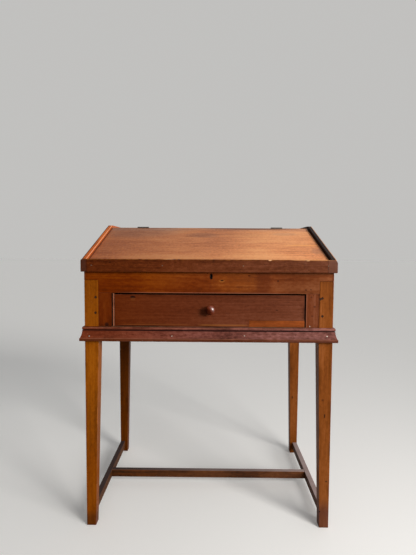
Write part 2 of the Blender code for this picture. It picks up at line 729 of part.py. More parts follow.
def make_drawer_front(drawer, front_tails):
    # Drawn in two lengths that meet on the knob's line, so that its hole opens between whole corners
    face, back = 0.0, FRONT_THICKNESS
    corners = ((face, DRAWER_FOOT), (back, DRAWER_FOOT), (back, DRAWER_TOP), (face, DRAWER_TOP))
    bm = bmesh.new()
    slab(bm, corners, (-DRAWER_HALF, KNOB_X, DRAWER_HALF))
    front = piece("drawer_front", bm, "drawer", drawer)

    # Half-blind sockets for the sides' tails
    tool = bmesh.new()
    for side, sign in SIDES:
        x = spread(sign, DRAWER_HALF - DRAWER_SIDE_THICKNESS - FIT, DRAWER_HALF + OVERCUT)
        for root in front_tails:
            slab(tool, tail_shape(FRONT_THICKNESS + OVERCUT, SOCKET_LAP, root, FIT), x)
    cut(front, tool)

    # Groove for the bottom board
    (low, _), _ = drawer_heights()
    reach = DRAWER_HALF - DRAWER_SIDE_THICKNESS + GROOVE_DEPTH
    groove = (low + GROOVE_RISE, low + GROOVE_RISE + DRAWER_BOTTOM_THICKNESS + 2 * FIT)
    tool = bmesh.new()
    box(tool, (-reach, reach), (FRONT_THICKNESS - GROOVE_DEPTH, FRONT_THICKNESS + OVERCUT), groove)
    cut(front, tool)

    # Hole for the knob's spigot
    tool = bmesh.new()
    hole = KNOB_SPIGOT_RADIUS + FIT
    turned(tool, ((hole, FRONT_THICKNESS + OVERCUT), (hole, -OVERCUT)), knob_centre(), KNOB_STEPS)
    cut(front, tool)

    # Let-in repair at the lower right edge
    tool = bmesh.new()
    start = DRAWER_HALF - PATCH_LENGTH
    box(tool, (start, DRAWER_HALF + OVERCUT), (-OVERCUT, PATCH_DEPTH),
        (DRAWER_FOOT - OVERCUT, DRAWER_FOOT + PATCH_HEIGHT))
    cut(front, tool)
    bm = bmesh.new()
    box(bm, (start + FIT, DRAWER_HALF), (0.0, PATCH_DEPTH - FIT),
        (DRAWER_FOOT, DRAWER_FOOT + PATCH_HEIGHT - FIT))
    piece("drawer_front_patch", bm, "patch", drawer)

    # Pale slip let in at the left end, a little taller than the front
    tool = bmesh.new()
    inner = SLIP_WIDTH - DRAWER_HALF
    box(tool, (-DRAWER_HALF - OVERCUT, inner), (-OVERCUT, PATCH_DEPTH),
        (DRAWER_FOOT - OVERCUT, DRAWER_TOP + OVERCUT))
    cut(front, tool)
    bm = bmesh.new()
    box(bm, (-DRAWER_HALF, inner - FIT), (0.0, PATCH_DEPTH - FIT), (DRAWER_FOOT, DRAWER_TOP + SLIP_RISE))
    piece("drawer_front_slip", bm, "slip", drawer)


def make_drawer_box(drawer, front_tails, back_tails):
    (low, high), (back_low, back_high) = drawer_heights()
    shoulder = FRONT_THICKNESS + FIT
    back_face = DRAWER_LENGTH - DRAWER_BACK_THICKNESS
    groove = (low + GROOVE_RISE, low + GROOVE_RISE + DRAWER_BOTTOM_THICKNESS + 2 * FIT)

    outline = [(shoulder, low)]
    for root in front_tails:
        outline += tail_shape(shoulder, SOCKET_LAP + FIT, root)
    outline += [(shoulder, high), (back_face - FIT, high)]
    for root in reversed(back_tails):
        outline += reversed(tail_shape(back_face - FIT, DRAWER_LENGTH, root))
    outline += [(back_face - FIT, back_low - FIT), (DRAWER_LENGTH, back_low - FIT), (DRAWER_LENGTH, low)]
    for side, sign in SIDES:
        inner = DRAWER_HALF - DRAWER_SIDE_THICKNESS
        bm = bmesh.new()
        slab(bm, outline, spread(sign, inner, DRAWER_HALF))
        board = piece(f"drawer_side_{side}", bm, "inside", drawer)
        tool = bmesh.new()
        reach = spread(sign, inner - OVERCUT, inner + GROOVE_DEPTH)
        box(tool, reach, (0.0, DRAWER_LENGTH + OVERCUT), groove)
        cut(board, tool)

    bm = bmesh.new()
    box(bm, (-DRAWER_HALF, DRAWER_HALF), (back_face, DRAWER_LENGTH), (back_low, back_high))
    back = piece("drawer_back", bm, "inside", drawer)
    tool = bmesh.new()
    for side, sign in SIDES:
        x = spread(sign, DRAWER_HALF - DRAWER_SIDE_THICKNESS - FIT, DRAWER_HALF + OVERCUT)
        for root in back_tails:
            slab(tool, tail_shape(back_face - FIT, DRAWER_LENGTH + OVERCUT, root, FIT), x)
    cut(back, tool)

    reach = DRAWER_HALF - DRAWER_SIDE_THICKNESS + GROOVE_DEPTH - FIT
    bm = bmesh.new()
    box(bm, (-reach, reach), (FRONT_THICKNESS - GROOVE_DEPTH + FIT, DRAWER_LENGTH),
        (groove[0] + FIT, groove[1] - FIT))
    piece("drawer_bottom", bm, "inside", drawer)


def knob_centre():
    return KNOB_X, (DRAWER_FOOT + DRAWER_TOP) / 2 + KNOB_RISE


def make_knob(drawer):
    """Turned from its spigot through base, neck and head to a domed face."""
    widest = KNOB_REACH - KNOB_DOME
    profile = [(KNOB_SPIGOT_RADIUS, FRONT_THICKNESS), (KNOB_SPIGOT_RADIUS, -FIT), (KNOB_BASE_RADIUS, -FIT)]
    for i in range(1, KNOB_ARC_STEPS + 1):
        turn = i / KNOB_ARC_STEPS * pi
        swell = (KNOB_BASE_RADIUS - KNOB_NECK_RADIUS) if turn < pi / 2 else (KNOB_RADIUS - KNOB_NECK_RADIUS)
        profile.append((KNOB_NECK_RADIUS + swell * (1 - sin(turn)), -widest * i / KNOB_ARC_STEPS))
    for i in range(1, KNOB_ARC_STEPS):
        turn = i / KNOB_ARC_STEPS * pi / 2
        profile.append((KNOB_RADIUS * cos(turn), -widest - KNOB_DOME * sin(turn)))
    profile.append((profile[-1][0] / 2, -KNOB_REACH))
    bm = bmesh.new()
    turned(bm, profile, knob_centre(), KNOB_STEPS)
    piece("drawer_knob", bm, "drawer", drawer)


def make_carriage(desk):
    """Runners under the drawer's sides, guides beside them and stops behind them."""
    rear = BACK_FACE - FIT
    for side, sign in SIDES:
        x, z = runner_section(sign)
        bm = bmesh.new()
        box(bm, x, (LOWER_RAIL_DEPTH + FIT, rear), z)
        add_tenon(bm, (0, -1, 0))
        piece(f"drawer_runner_{side}", bm, "inside", desk)

        bm = bmesh.new()
        seat = WAIST + FIT
        box(bm, spread(sign, OPENING_HALF, OPENING_HALF + GUIDE_WIDTH), (FRONT_THICKNESS + FIT, rear),
            (seat, seat + GUIDE_HEIGHT))
        piece(f"drawer_guide_{side}", bm, "inside", desk)

        bm = bmesh.new()
        start = DRAWER_LENGTH + FIT
        bearing = spread(sign, OPENING_HALF - RUNNER_BEARING, OPENING_HALF - FIT)
        box(bm, bearing, (start, start + STOP_LENGTH), (seat, seat + STOP_HEIGHT))
        piece(f"drawer_stop_{side}", bm, "inside", desk)


# Lock
def lock_levels():
    top = lid_underside(FRONT_THICKNESS) - LOCK_HEADROOM
    return top - LOCK_HEIGHT, top


def lock_y():
    front = FRONT_THICKNESS + FIT
    return front, front + LOCK_DEPTH


def bolt_axis():
    """The bolt's line in (y, z): the staple's hole with the lid shut."""
    y = sum(lock_y()) / 2
    return y, lid_underside(y) - STAPLE_HOLE_DEPTH / cos(LID_SLOPE)


def link_seat():
    """Where the link plate lies along the lid, and in its underside."""
    y, z = bolt_axis()
    along = (y - HINGE_LINE) * cos(LID_SLOPE) + (z - TOP_SURFACE) * sin(LID_SLOPE)
    under = -LID_THICKNESS
    return (along - LINK_WIDTH / 2, along + LINK_WIDTH / 2), (under, under + LINK_THICKNESS)


def staple_x():
    centre = KEYHOLE_X + STAPLE_OFFSET
    return centre - STAPLE_THICKNESS / 2, centre + STAPLE_THICKNESS / 2


def bolt_x():
    """The bolt's plate, drawn back, stands one travel short of the staple's pocket."""
    end = staple_x()[0] - LOCK_WALL - BOLT_TRAVEL
    return end - BOLT_LENGTH, end


def make_lock_case(desk):
    y, z = lock_y(), lock_levels()
    bm = bmesh.new()
    box(bm, (KEYHOLE_X - LOCK_WIDTH / 2, KEYHOLE_X + LOCK_WIDTH / 2), y, z)
    case = piece("lock_case", bm, "iron", desk)
    axis_y, axis_z = bolt_axis()
    plate = bolt_x()

    # Pocket that the staple drops into
    tool = bmesh.new()
    pocket = (staple_x()[0] - LOCK_WALL, staple_x()[1] + LOCK_WALL)
    floor = axis_z - STAPLE_WIDTH
    box(tool, pocket, (y[0] + LOCK_WALL, y[1] - LOCK_WALL), (floor, z[1] + OVERCUT))
    cut(case, tool)

    # Channel for the bolt's plate and, past the pocket, for its nose
    tool = bmesh.new()
    half = BOLT_HEIGHT / 2 + BOLT_PLAY
    depth = BOLT_DEPTH / 2 + BOLT_PLAY
    channel = (plate[0] - BOLT_PLAY, plate[1] + BOLT_TRAVEL + BOLT_PLAY)
    low = axis_z + BOLT_NOSE_RADIUS - BOLT_HEIGHT - BOLT_PLAY
    box(tool, channel, (axis_y - depth, axis_y + depth), (low, low + 2 * half))
    cut(case, tool)
    tool = bmesh.new()
    reach = plate[1] + BOLT_NOSE_LENGTH + BOLT_TRAVEL + BOLT_PLAY
    rod(tool, BOLT_NOSE_RADIUS + BOLT_PLAY, (plate[1], reach), BOLT_STEPS, (axis_y, axis_z))
    cut(case, tool)

    # Keyhole, and the round chamber where the key's bit turns up to the bolt's talon
    tool = bmesh.new()
    panel(tool, keyhole_outline(keyhole_centre()), (y[0] - OVERCUT, axis_y))
    cut(case, tool)
    tool = bmesh.new()
    swing = axis_z + BOLT_NOSE_RADIUS - BOLT_HEIGHT + TALON_RADIUS - keyhole_centre()[1]
    turned(tool, ((swing, axis_y + depth), (swing, axis_y - depth)), keyhole_centre(), KNOB_STEPS)
    cut(case, tool)


def make_bolt(lock):
    """A flat plate with a round nose, and a talon cut in its lower edge for the key."""
    axis_y, axis_z = bolt_axis()
    start, end = bolt_x()
    top = axis_z + BOLT_NOSE_RADIUS
    bottom = top - BOLT_HEIGHT
    talon = arc((KEYHOLE_X - BOLT_TRAVEL / 2, bottom), TALON_RADIUS, 2, 0, KEYHOLE_STEPS)
    outline = [(start, bottom), *talon, (end, bottom), (end, top), (start, top)]
    bm = bmesh.new()
    panel(bm, outline, (axis_y - BOLT_DEPTH / 2, axis_y + BOLT_DEPTH / 2))
    bolt = piece("lock_bolt", bm, "brass", lock)
    nose = bmesh.new()
    rod(nose, BOLT_NOSE_RADIUS, (end - OVERCUT, end + BOLT_NOSE_LENGTH), BOLT_STEPS, (axis_y, axis_z))
    join(bolt, nose)


def make_link_plate(lid):
    """A plate let into the lid's underside, with one staple that the bolt's nose enters."""
    link_y, link_z = link_seat()
    centre = KEYHOLE_X + STAPLE_OFFSET
    bm = bmesh.new()
    box(bm, (centre - LINK_LENGTH / 2, centre + LINK_LENGTH / 2), link_y, link_z)
    link = piece("lock_link_plate", bm, "iron", lid)
    along = sum(link_y) / 2
    tip = link_z[0] - STAPLE_HOLE_DEPTH
    staple = bmesh.new()
    half = STAPLE_WIDTH / 2
    outline = [(along - half, (link_z[0] + link_z[1]) / 2), *arc((along, tip), half, -2, 0, KEYHOLE_STEPS),
               (along + half, (link_z[0] + link_z[1]) / 2)]
    slab(staple, outline, staple_x())
    join(link, staple)
    hole = bmesh.new()
    x = staple_x()
    rod(hole, STAPLE_HOLE_RADIUS, (x[0] - OVERCUT, x[1] + OVERCUT), BOLT_STEPS, (along, tip))
    cut(link, hole)


for leftover in list(bpy.data.objects):
    bpy.data.objects.remove(leftover, do_unlink=True)

desk = empty("desk", location=(0, -ORIGIN_Y, 0))
hinge_axis = empty("hinge_axis", desk, (0, HINGE_LINE, TOP_SURFACE))
lid = empty("lid", desk, (0, HINGE_LINE, TOP_SURFACE), LID_SLOPE)
lid_upright = empty("lid_upright", lid, tilt=-LID_SLOPE)
drawer = empty("drawer", desk)
lock = empty("lock", desk)

make_legs(desk)
make_stretchers(desk)
make_sides(desk)
make_back(desk)
make_well_floor(desk)
make_front_frame(desk)
make_mouldings(desk)
make_top(desk, hinge_axis)
make_lid(lid, lid_upright)
make_hinges(hinge_axis, lid_upright)
side_heights, back_heights = drawer_heights()
front_tails = tails(*side_heights, TAIL_COUNT)
back_tails = tails(*back_heights, TAIL_COUNT)
make_drawer_front(drawer, front_tails)
make_drawer_box(drawer, front_tails, back_tails)
make_knob(drawer)
make_carriage(desk)
make_lock_case(desk)
make_bolt(lock)
make_link_plate(lid)
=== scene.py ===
# %% [markdown]
# # A schoolmaster's desk, from bare solids to old varnish
#
# The desk comes in as solid pieces that already have their joints and their places. The shapes that are
# right stay as they are, and get the finish of wood that was varnished, leaned on and scuffed for many
# years. What a solid model leaves out is made here: a knob from the lathe, run mouldings, a rubbed lip,
# nail heads and screws.

# %% Load the frame
import math
import random
from collections import namedtuple

import bmesh
import bpy
from mathutils import Euler, Matrix, Vector, noise
from mathutils.geometry import interpolate_bezier


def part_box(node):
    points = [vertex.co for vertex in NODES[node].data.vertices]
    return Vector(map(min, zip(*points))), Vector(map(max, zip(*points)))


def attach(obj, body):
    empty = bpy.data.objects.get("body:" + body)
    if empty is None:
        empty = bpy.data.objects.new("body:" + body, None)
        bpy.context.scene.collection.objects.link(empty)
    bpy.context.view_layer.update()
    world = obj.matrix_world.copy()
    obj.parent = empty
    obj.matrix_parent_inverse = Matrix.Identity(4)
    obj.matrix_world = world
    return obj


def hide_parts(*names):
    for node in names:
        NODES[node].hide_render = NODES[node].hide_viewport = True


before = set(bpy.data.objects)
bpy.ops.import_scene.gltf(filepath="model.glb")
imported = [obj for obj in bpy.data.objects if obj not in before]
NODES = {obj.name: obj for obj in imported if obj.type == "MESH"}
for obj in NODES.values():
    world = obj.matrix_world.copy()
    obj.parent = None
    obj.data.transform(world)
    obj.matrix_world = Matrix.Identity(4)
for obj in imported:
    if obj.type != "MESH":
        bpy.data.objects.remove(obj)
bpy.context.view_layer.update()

# %% [markdown]
# ## The camera
#
# The desk is seen from the front, a little right of its middle, with the lens about level with the lid's
# front edge. Fitting a pinhole camera to the desk's straight edges gives its place, its three angles and
# its lens. The angles are written as a forward, a right and an up direction, because a matrix made from
# three directions has no doubt about the order in which angles are applied.

# %% Camera
CAMERA_PLACE = Vector((0.0112, -1.8485, 1.0381))
YAW = math.radians(-0.523)
PITCH = math.radians(3.446)
ROLL = math.radians(0.335)
LENS_MM = 27.43

forward = Vector((math.sin(YAW) * math.cos(PITCH), math.cos(YAW) * math.cos(PITCH), -math.sin(PITCH)))
level_right = Vector((math.cos(YAW), -math.sin(YAW), 0.0))
level_up = level_right.cross(forward)
rolled_right = level_right * math.cos(ROLL) + level_up * math.sin(ROLL)
rolled_up = level_up * math.cos(ROLL) - level_right * math.sin(ROLL)

lens = bpy.data.cameras.new("camera")
lens.lens = LENS_MM
camera = bpy.data.objects.new("camera", lens)
bpy.context.scene.collection.objects.link(camera)
turned = Matrix((rolled_right, rolled_up, -forward)).transposed().to_4x4()
camera.matrix_world = Matrix.Translation(CAMERA_PLACE) @ turned
bpy.context.scene.camera = camera
bpy.context.scene.view_settings.view_transform = "Standard"
print("camera at", [round(v, 3) for v in CAMERA_PLACE], "lens", LENS_MM, "mm")

# %% [markdown]
# ## Sums in a material
#
# A material is a net of nodes, and a long sum made of Math nodes is hard to read when each is added by
# hand. This small class stands for the value that leaves a socket. Adding, multiplying or comparing two
# of them adds the Math node, so a recipe reads like the sum it is. Every other kind of node comes from
# the one method called node.

# %% A value that leaves a socket
class Wire:
    """The value at one output. Sums of it add Math nodes to the tree that is being written."""

    tree = None

    def __init__(self, socket):
        self.socket = socket

    @classmethod
    def node(cls, kind, settings=None, inputs=None, output=0):
        """Add a node of any kind: its settings come first, then the values or wires of its sockets."""
        made = cls.tree.nodes.new("ShaderNode" + kind)
        for name, value in (settings or {}).items():
            if name == "stops":
                ramp = made.color_ramp.elements
                ramp[0].position, ramp[0].color = value[0]
                ramp[1].position, ramp[1].color = value[-1]
                for place, colour in value[1:-1]:
                    ramp.new(place).color = colour
            else:
                setattr(made, name, value)
        for name, value in (inputs or {}).items():
            if isinstance(value, Wire):
                cls.tree.links.new(value.socket, made.inputs[name])
            else:
                made.inputs[name].default_value = value
        return cls(made.outputs[output])

    @classmethod
    def vector(cls, operation, first, second=None):
        """Add a node that works on directions or places."""
        inputs = {0: first} if second is None else {0: first, 1: second}
        output = "Value" if operation == "LENGTH" else 0
        return cls.node("VectorMath", {"operation": operation}, inputs, output)

    def maths(self, operation, *others):
        return self.node("Math", {"operation": operation}, dict(enumerate((self, *others))))

    def __add__(self, other):
        return self.maths("ADD", other)

    def __sub__(self, other):
        return self.maths("SUBTRACT", other)

    def __rsub__(self, other):
        return self.node("Math", {"operation": "SUBTRACT"}, {0: other, 1: self})

    def __mul__(self, other):
        return self.maths("MULTIPLY", other)

    def __pow__(self, other):
        return self.maths("POWER", other)

    __radd__ = __add__
    __rmul__ = __mul__

    def least(self, other):
        return self.maths("MINIMUM", other)

    def most(self, other):
        return self.maths("MAXIMUM", other)

    def rise(self, low, high):
        """0 below low and 1 above high, with a soft step between; with low above high it falls instead."""
        return self.node("MapRange", {"interpolation_type": "SMOOTHSTEP"},
                         {"Value": self, "From Min": low, "From Max": high})

    def parts(self):
        """The three parts of a place or a direction."""
        split = self.node("SeparateXYZ", {}, {"Vector": self}).socket.node
        return [Wire(socket) for socket in split.outputs]


def blend(share, first, second, kind="MIX"):
    """Mix two colours."""
    return Wire.node("Mix", {"data_type": "RGBA", "blend_type": kind}, {0: share, 6: first, 7: second}, 2)


def opaque(colour, gain=1.0):
    """A colour with its fourth channel, made darker or paler by a gain."""
    return (*(gain * channel for channel in colour), 1.0)


def start_finish(name):
    """A new, empty material whose tree the next wires go into."""
    material = bpy.data.materials.new(name)
    material.use_nodes = True
    material.node_tree.nodes.clear()
    Wire.tree = material.node_tree
    return material


def end_finish(shader):
    """Join the shader to the output of the tree that is being written."""
    output = Wire.tree.nodes.new("ShaderNodeOutputMaterial")
    Wire.tree.links.new(shader.socket, output.inputs["Surface"])


print("sums that a wire takes: + - * ** least most rise")

# %% [markdown]
# ## Floor and light
#
# A product picture needs a floor that takes a shadow and a background that doesn't draw the eye. The
# floor runs far past the frame, and the world shows the camera the tone that the lit floor has, so the
# horizon disappears. The floor looks pale but throws only about half as much light up, which keeps the
# undersides of the desk dark.
#
# The knob's shadow falls about as far to the left as the knob stands out, and much less far down, so the
# main light comes from the front right and low. A soft sun lights everything evenly from there, and a
# broad lamp on the same side, closer by, makes the right half of the desk brighter than the left. The sky
# is dimmer on the left, and what shiny faces mirror there is dimmer still, so that faces turned that way
# go dark.

# %% Floor, sky, sun and lamp
FLOOR_TONE = (0.92, 0.915, 0.90)
FLOOR_BOUNCE = (0.46, 0.455, 0.44)
FLOOR_GLOW = (0.12, 0.12, 0.117)
NO_GLOW = (0.0, 0.0, 0.0)
FLOOR_ROUGHNESS = 0.9
FLOOR_SHEEN = 0.1
FLOOR_RADIUS = 60.0
FLOOR_STEPS = 64
FLOOR_DROP = 0.0004
BACKGROUND = (0.535, 0.530, 0.518)
SKY_LEFT = 0.09
SKY_RIGHT = 0.49
SHINE_LEFT = 0.05
SHINE_RIGHT = 0.80
LIGHT_FROM = Vector((0.66, -0.69, 0.28))
LIGHT_COLOUR = (1.0, 0.975, 0.94)
SUN_LEVEL = 1.75
SUN_SOFTNESS = math.radians(18)
LAMP_WATTS = 28.0
LAMP_SIZE = 0.9
LAMP_REACH = 2.2
LAMP_AIM = Vector((0.0, -0.1, 0.9))


def ray_is(*kinds):
    """1 for rays of these kinds."""
    rays = Wire.node("LightPath").socket.node.outputs
    first, *others = (Wire(rays[f"Is {kind} Ray"]) for kind in kinds)
    for other in others:
        first = first.most(other)
    return first


def seen_ray():
    """1 for rays from the camera and for what a shiny or clear thing shows."""
    return ray_is("Camera", "Glossy", "Transmission")


bm = bmesh.new()
bmesh.ops.create_circle(bm, cap_ends=True, segments=FLOOR_STEPS, radius=FLOOR_RADIUS)
bmesh.ops.translate(bm, verts=bm.verts, vec=(0, 0, -FLOOR_DROP))
floor_mesh = bpy.data.meshes.new("floor")
bm.to_mesh(floor_mesh)
bm.free()
floor = bpy.data.objects.new("floor", floor_mesh)
bpy.context.scene.collection.objects.link(floor)
floor_paint = start_finish("floor_paint")
end_finish(Wire.node("BsdfPrincipled", {}, {
    "Base Color": blend(seen_ray(), opaque(FLOOR_BOUNCE), opaque(FLOOR_TONE)),
    "Roughness": FLOOR_ROUGHNESS,
    "Specular IOR Level": FLOOR_SHEEN,
    "Emission Color": blend(seen_ray(), opaque(NO_GLOW), opaque(FLOOR_GLOW)),
    "Emission Strength": 1.0}))
floor_mesh.materials.append(floor_paint)

world = bpy.data.worlds.new("studio")
bpy.context.scene.world = world
world.use_nodes = True
world.node_tree.nodes.clear()
Wire.tree = world.node_tree
toward_right = Wire.node("TexCoord", output="Generated").parts()[0].rise(-1.0, 1.0)
lit_by = toward_right * (SKY_RIGHT - SKY_LEFT) + SKY_LEFT
mirrored = toward_right * (SHINE_RIGHT - SHINE_LEFT) + SHINE_LEFT
sky = blend(ray_is("Glossy"), lit_by, mirrored)
sky = blend(ray_is("Camera", "Transmission"), sky, opaque(BACKGROUND))
backdrop = Wire.node("Background", {}, {"Color": sky, "Strength": 1.0})
world_output = world.node_tree.nodes.new("ShaderNodeOutputWorld")
world.node_tree.links.new(backdrop.socket, world_output.inputs["Surface"])


def add_light(name, kind, energy, place):
    """A light that shines from the main direction."""
    light = bpy.data.lights.new(name, kind)
    light.energy = energy
    light.color = LIGHT_COLOUR
    holder = bpy.data.objects.new(name, light)
    holder.location = place
    holder.rotation_mode = "QUATERNION"
    holder.rotation_quaternion = LIGHT_FROM.to_track_quat("Z", "Y")
    bpy.context.scene.collection.objects.link(holder)
    return light


add_light("soft_sun", "SUN", SUN_LEVEL, LAMP_AIM).angle = SUN_SOFTNESS
add_light("broad_lamp", "AREA", LAMP_WATTS, LAMP_AIM + LIGHT_FROM * LAMP_REACH).size = LAMP_SIZE
print("floor", FLOOR_RADIUS, "m, sun", SUN_LEVEL, "lamp", LAMP_WATTS, "W")

# %% [markdown]
# ## Old varnished wood
#
# Each board is read in its own frame: its middle at zero and the grain along X. Growth rings are the
# distance from a pith line that lies off the board's middle, bent by slow noise, so a flat-sawn face
# shows long curved lines and a narrow face shows straight ones, as in real timber. Streaks, threads,
# fibres and pores are noise drawn out along the grain. Varnish lies thick and thin in clouds.

# %% Noise along the grain, and varnished timber
# Waves to the metre along and across the grain, then the noise's detail and roughness
Grain = namedtuple("Grain", "along across detail rough", defaults=(3.0, 0.55))
GRAINS = {
    "wander": Grain(1.7, 8.0, 2.0),
    "ripple": Grain(5.0, 60.0, 2.0),
    "streak": Grain(1.1, 26.0, 4.0, 0.62),
    "thread": Grain(3.4, 170.0, 3.0, 0.6),
    "fibre": Grain(45.0, 1100.0, 2.0, 0.6),
    "cloud": Grain(3.2, 6.5, 3.0, 0.5),
    "mottle": Grain(55.0, 120.0, 3.0, 0.6),
    "grit": Grain(110.0, 70.0, 2.0, 0.6),
    "pore": Grain(80.0, 2400.0, 1.0),
    "speck": Grain(240.0, 240.0, 2.0),
    "fleck": Grain(190.0, 330.0, 2.0),
    "ragged": Grain(18.0, 60.0, 4.0, 0.6),
    "grime": Grain(9.0, 30.0),
    "dust_and_sheen": Grain(14.0, 14.0, 4.0),
}
RING_NOISES = ("wander", "ripple")
VARNISH_NOISES = ("mottle", "grit", "streak", "thread", "cloud", "fibre")
# How much rougher, and how much higher, each of these makes the surface
ROUGHER = {"cloud": 0.16, "pore": 0.08, "rubbed": 0.16}
HIGHER = {"fibre": 0.5, "cloud": 1.2, "late": -0.5, "pore": -0.8, "pit": -3.0, "ragged": 1.6}
RING_WANDER = 0.030
RING_RIPPLE = 0.002
LATE_SHARPNESS = 4.0
THICK_VARNISH = 0.18
THIN_VARNISH = 0.82
PORES = (0.62, 0.72)
PORE_SHADE = 0.35


def grain_noise(place, grain):
    """Noise drawn out along the grain."""
    drawn = Wire.vector("MULTIPLY", place, (grain.along, grain.across, grain.across))
    return Wire.node("TexNoise", {}, {"Vector": drawn, "Scale": 1.0, "Detail": grain.detail,
                                      "Roughness": grain.rough})


def varnished_timber(timber, tone, grains):
    """The colour of varnished timber, and the roughness and height that its grain gives it."""
    swings = {name: grain_noise(timber, grains[name]) - 0.5 for name in RING_NOISES + VARNISH_NOISES}
    radius = Wire.vector("LENGTH", Wire.vector("MULTIPLY", timber, (0.0, 1.0, 1.0)))
    bent = radius + swings["wander"] * RING_WANDER + swings["ripple"] * RING_RIPPLE
    late = (bent * (1.0 / tone["ring"])).maths("FRACT") ** LATE_SHARPNESS
    level = 0.5 - late * tone["late"]
    for name in VARNISH_NOISES:
        level = level + swings[name] * tone[name]
    stops = [
        (THICK_VARNISH, opaque(tone["deep"])),
        (0.5, opaque(tone["body"])),
        (THIN_VARNISH, opaque(tone["glow"])),
    ]
    colour = Wire.node("ValToRGB", {"stops": stops}, {"Fac": level})
    pore = grain_noise(timber, grains["pore"]).rise(*PORES)
    colour = blend(pore * tone["pore"], colour, opaque(tone["deep"], PORE_SHADE))
    roughness = tone["gloss"] + swings["cloud"] * ROUGHER["cloud"] + pore * ROUGHER["pore"]
    height = swings["fibre"] * HIGHER["fibre"] + swings["cloud"] * HIGHER["cloud"]
    height = height + late * HIGHER["late"] + pore * HIGHER["pore"]
    return colour, roughness, height


print("noises in the recipe:", len(GRAINS))

# %% [markdown]
# ## Wear, dirt and painted shade
#
# The distance to the nearest arris is the middle one of the three distances to a board's faces, which
# costs a few sums and no extra geometry. There the finish is rubbed through to paler wood, and just
# inside it grime has stayed. Faces that are shut away in a gap get painted shade, and faces that look up
# near the floor get dust with a painted sheen, which turns to painted shade at the left end. A mark is an
# oval or a square patch in the desk's own measures, or in the board's, with a colour, a strength and a
# depth. Its colour is laid over the wood or, for a stain or painted shade that leaves the grain visible,
# multiplied with it.

# %% Arrises, dents and marks
Mark = namedtuple("Mark", "middle reach colour strength depth square own kind",
                  defaults=(0.0, False, False, "MIX"))
DENT_WAVES = (11.0, 26.0, 26.0)
DENT_RIM = (0.075, 0.03)
DENT_CHANCE = (0.62, 0.66)
SQUARE_FADE = (1.0, 0.6)
OVAL_FADE = (1.0, 0.45)


def middle_of(a, b, c):
    """The middle one of three values."""
    return a.least(b).most(a.most(b).least(c))


def box_edge(place, low, high):
    """Distance to the nearest arris of a board's box."""
    apart = Wire.vector("SUBTRACT", (high - low) / 2, Wire.vector("ABSOLUTE", place))
    return middle_of(*apart.parts())


def dents_in(timber):
    """1 in small dents, scattered by chance."""
    cell = Wire.node("TexVoronoi", {}, {"Vector": Wire.vector("MULTIPLY", timber, DENT_WAVES), "Scale": 1.0})
    chance = Wire.node("SeparateColor", {}, {"Color": Wire(cell.socket.node.outputs["Color"])})
    return cell.rise(*DENT_RIM) * chance.rise(*DENT_CHANCE)


def mark_mask(place, mark):
    """1 in an oval or a square patch round a point, fading to 0 at its rim."""
    apart = Wire.vector("DIVIDE", Wire.vector("SUBTRACT", place, mark.middle), mark.reach)
    if mark.square:
        x, y, z = Wire.vector("ABSOLUTE", apart).parts()
        return x.most(y).most(z).rise(*SQUARE_FADE)
    return Wire.vector("LENGTH", apart).rise(*OVAL_FADE)


print("a mark holds:", ", ".join(Mark._fields))

# %% The whole wood recipe
PITH_ALONG = 9.0
PITH_BESIDE = (0.8, 1.3)
PITH_BELOW = (-0.6, 0.6)
DENT_STRENGTH = 0.7
DIRT_SHADE = 0.22
SPECKS = (0.66, 0.74)
FLECKS = (0.64, 0.74)
RUB_RAGGED = 2.4
RUB_BARE = 0.15
GRIME_SHADE = 0.3
GRIME_BAND = (0.016, 0.001)
GRIME_PATCHES = (0.42, 0.72)
SHUT_SHADE = 0.12
SHUT_STRENGTH = 0.9
FACING_SIDEWAYS = (0.6, 0.3)
FACING_UP = (0.6, 0.95)
DUST_AND_SHEEN_SWING = 0.6
DUST_AND_SHEEN_LEAST = 0.5
HIGHLIGHT_COAT_ROUGHNESS = 0.32
HIGHLIGHT_COAT_IOR = 1.8
RELIEF_DEPTH = 0.0004
CASE_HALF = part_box("leg_front_right")[1].x


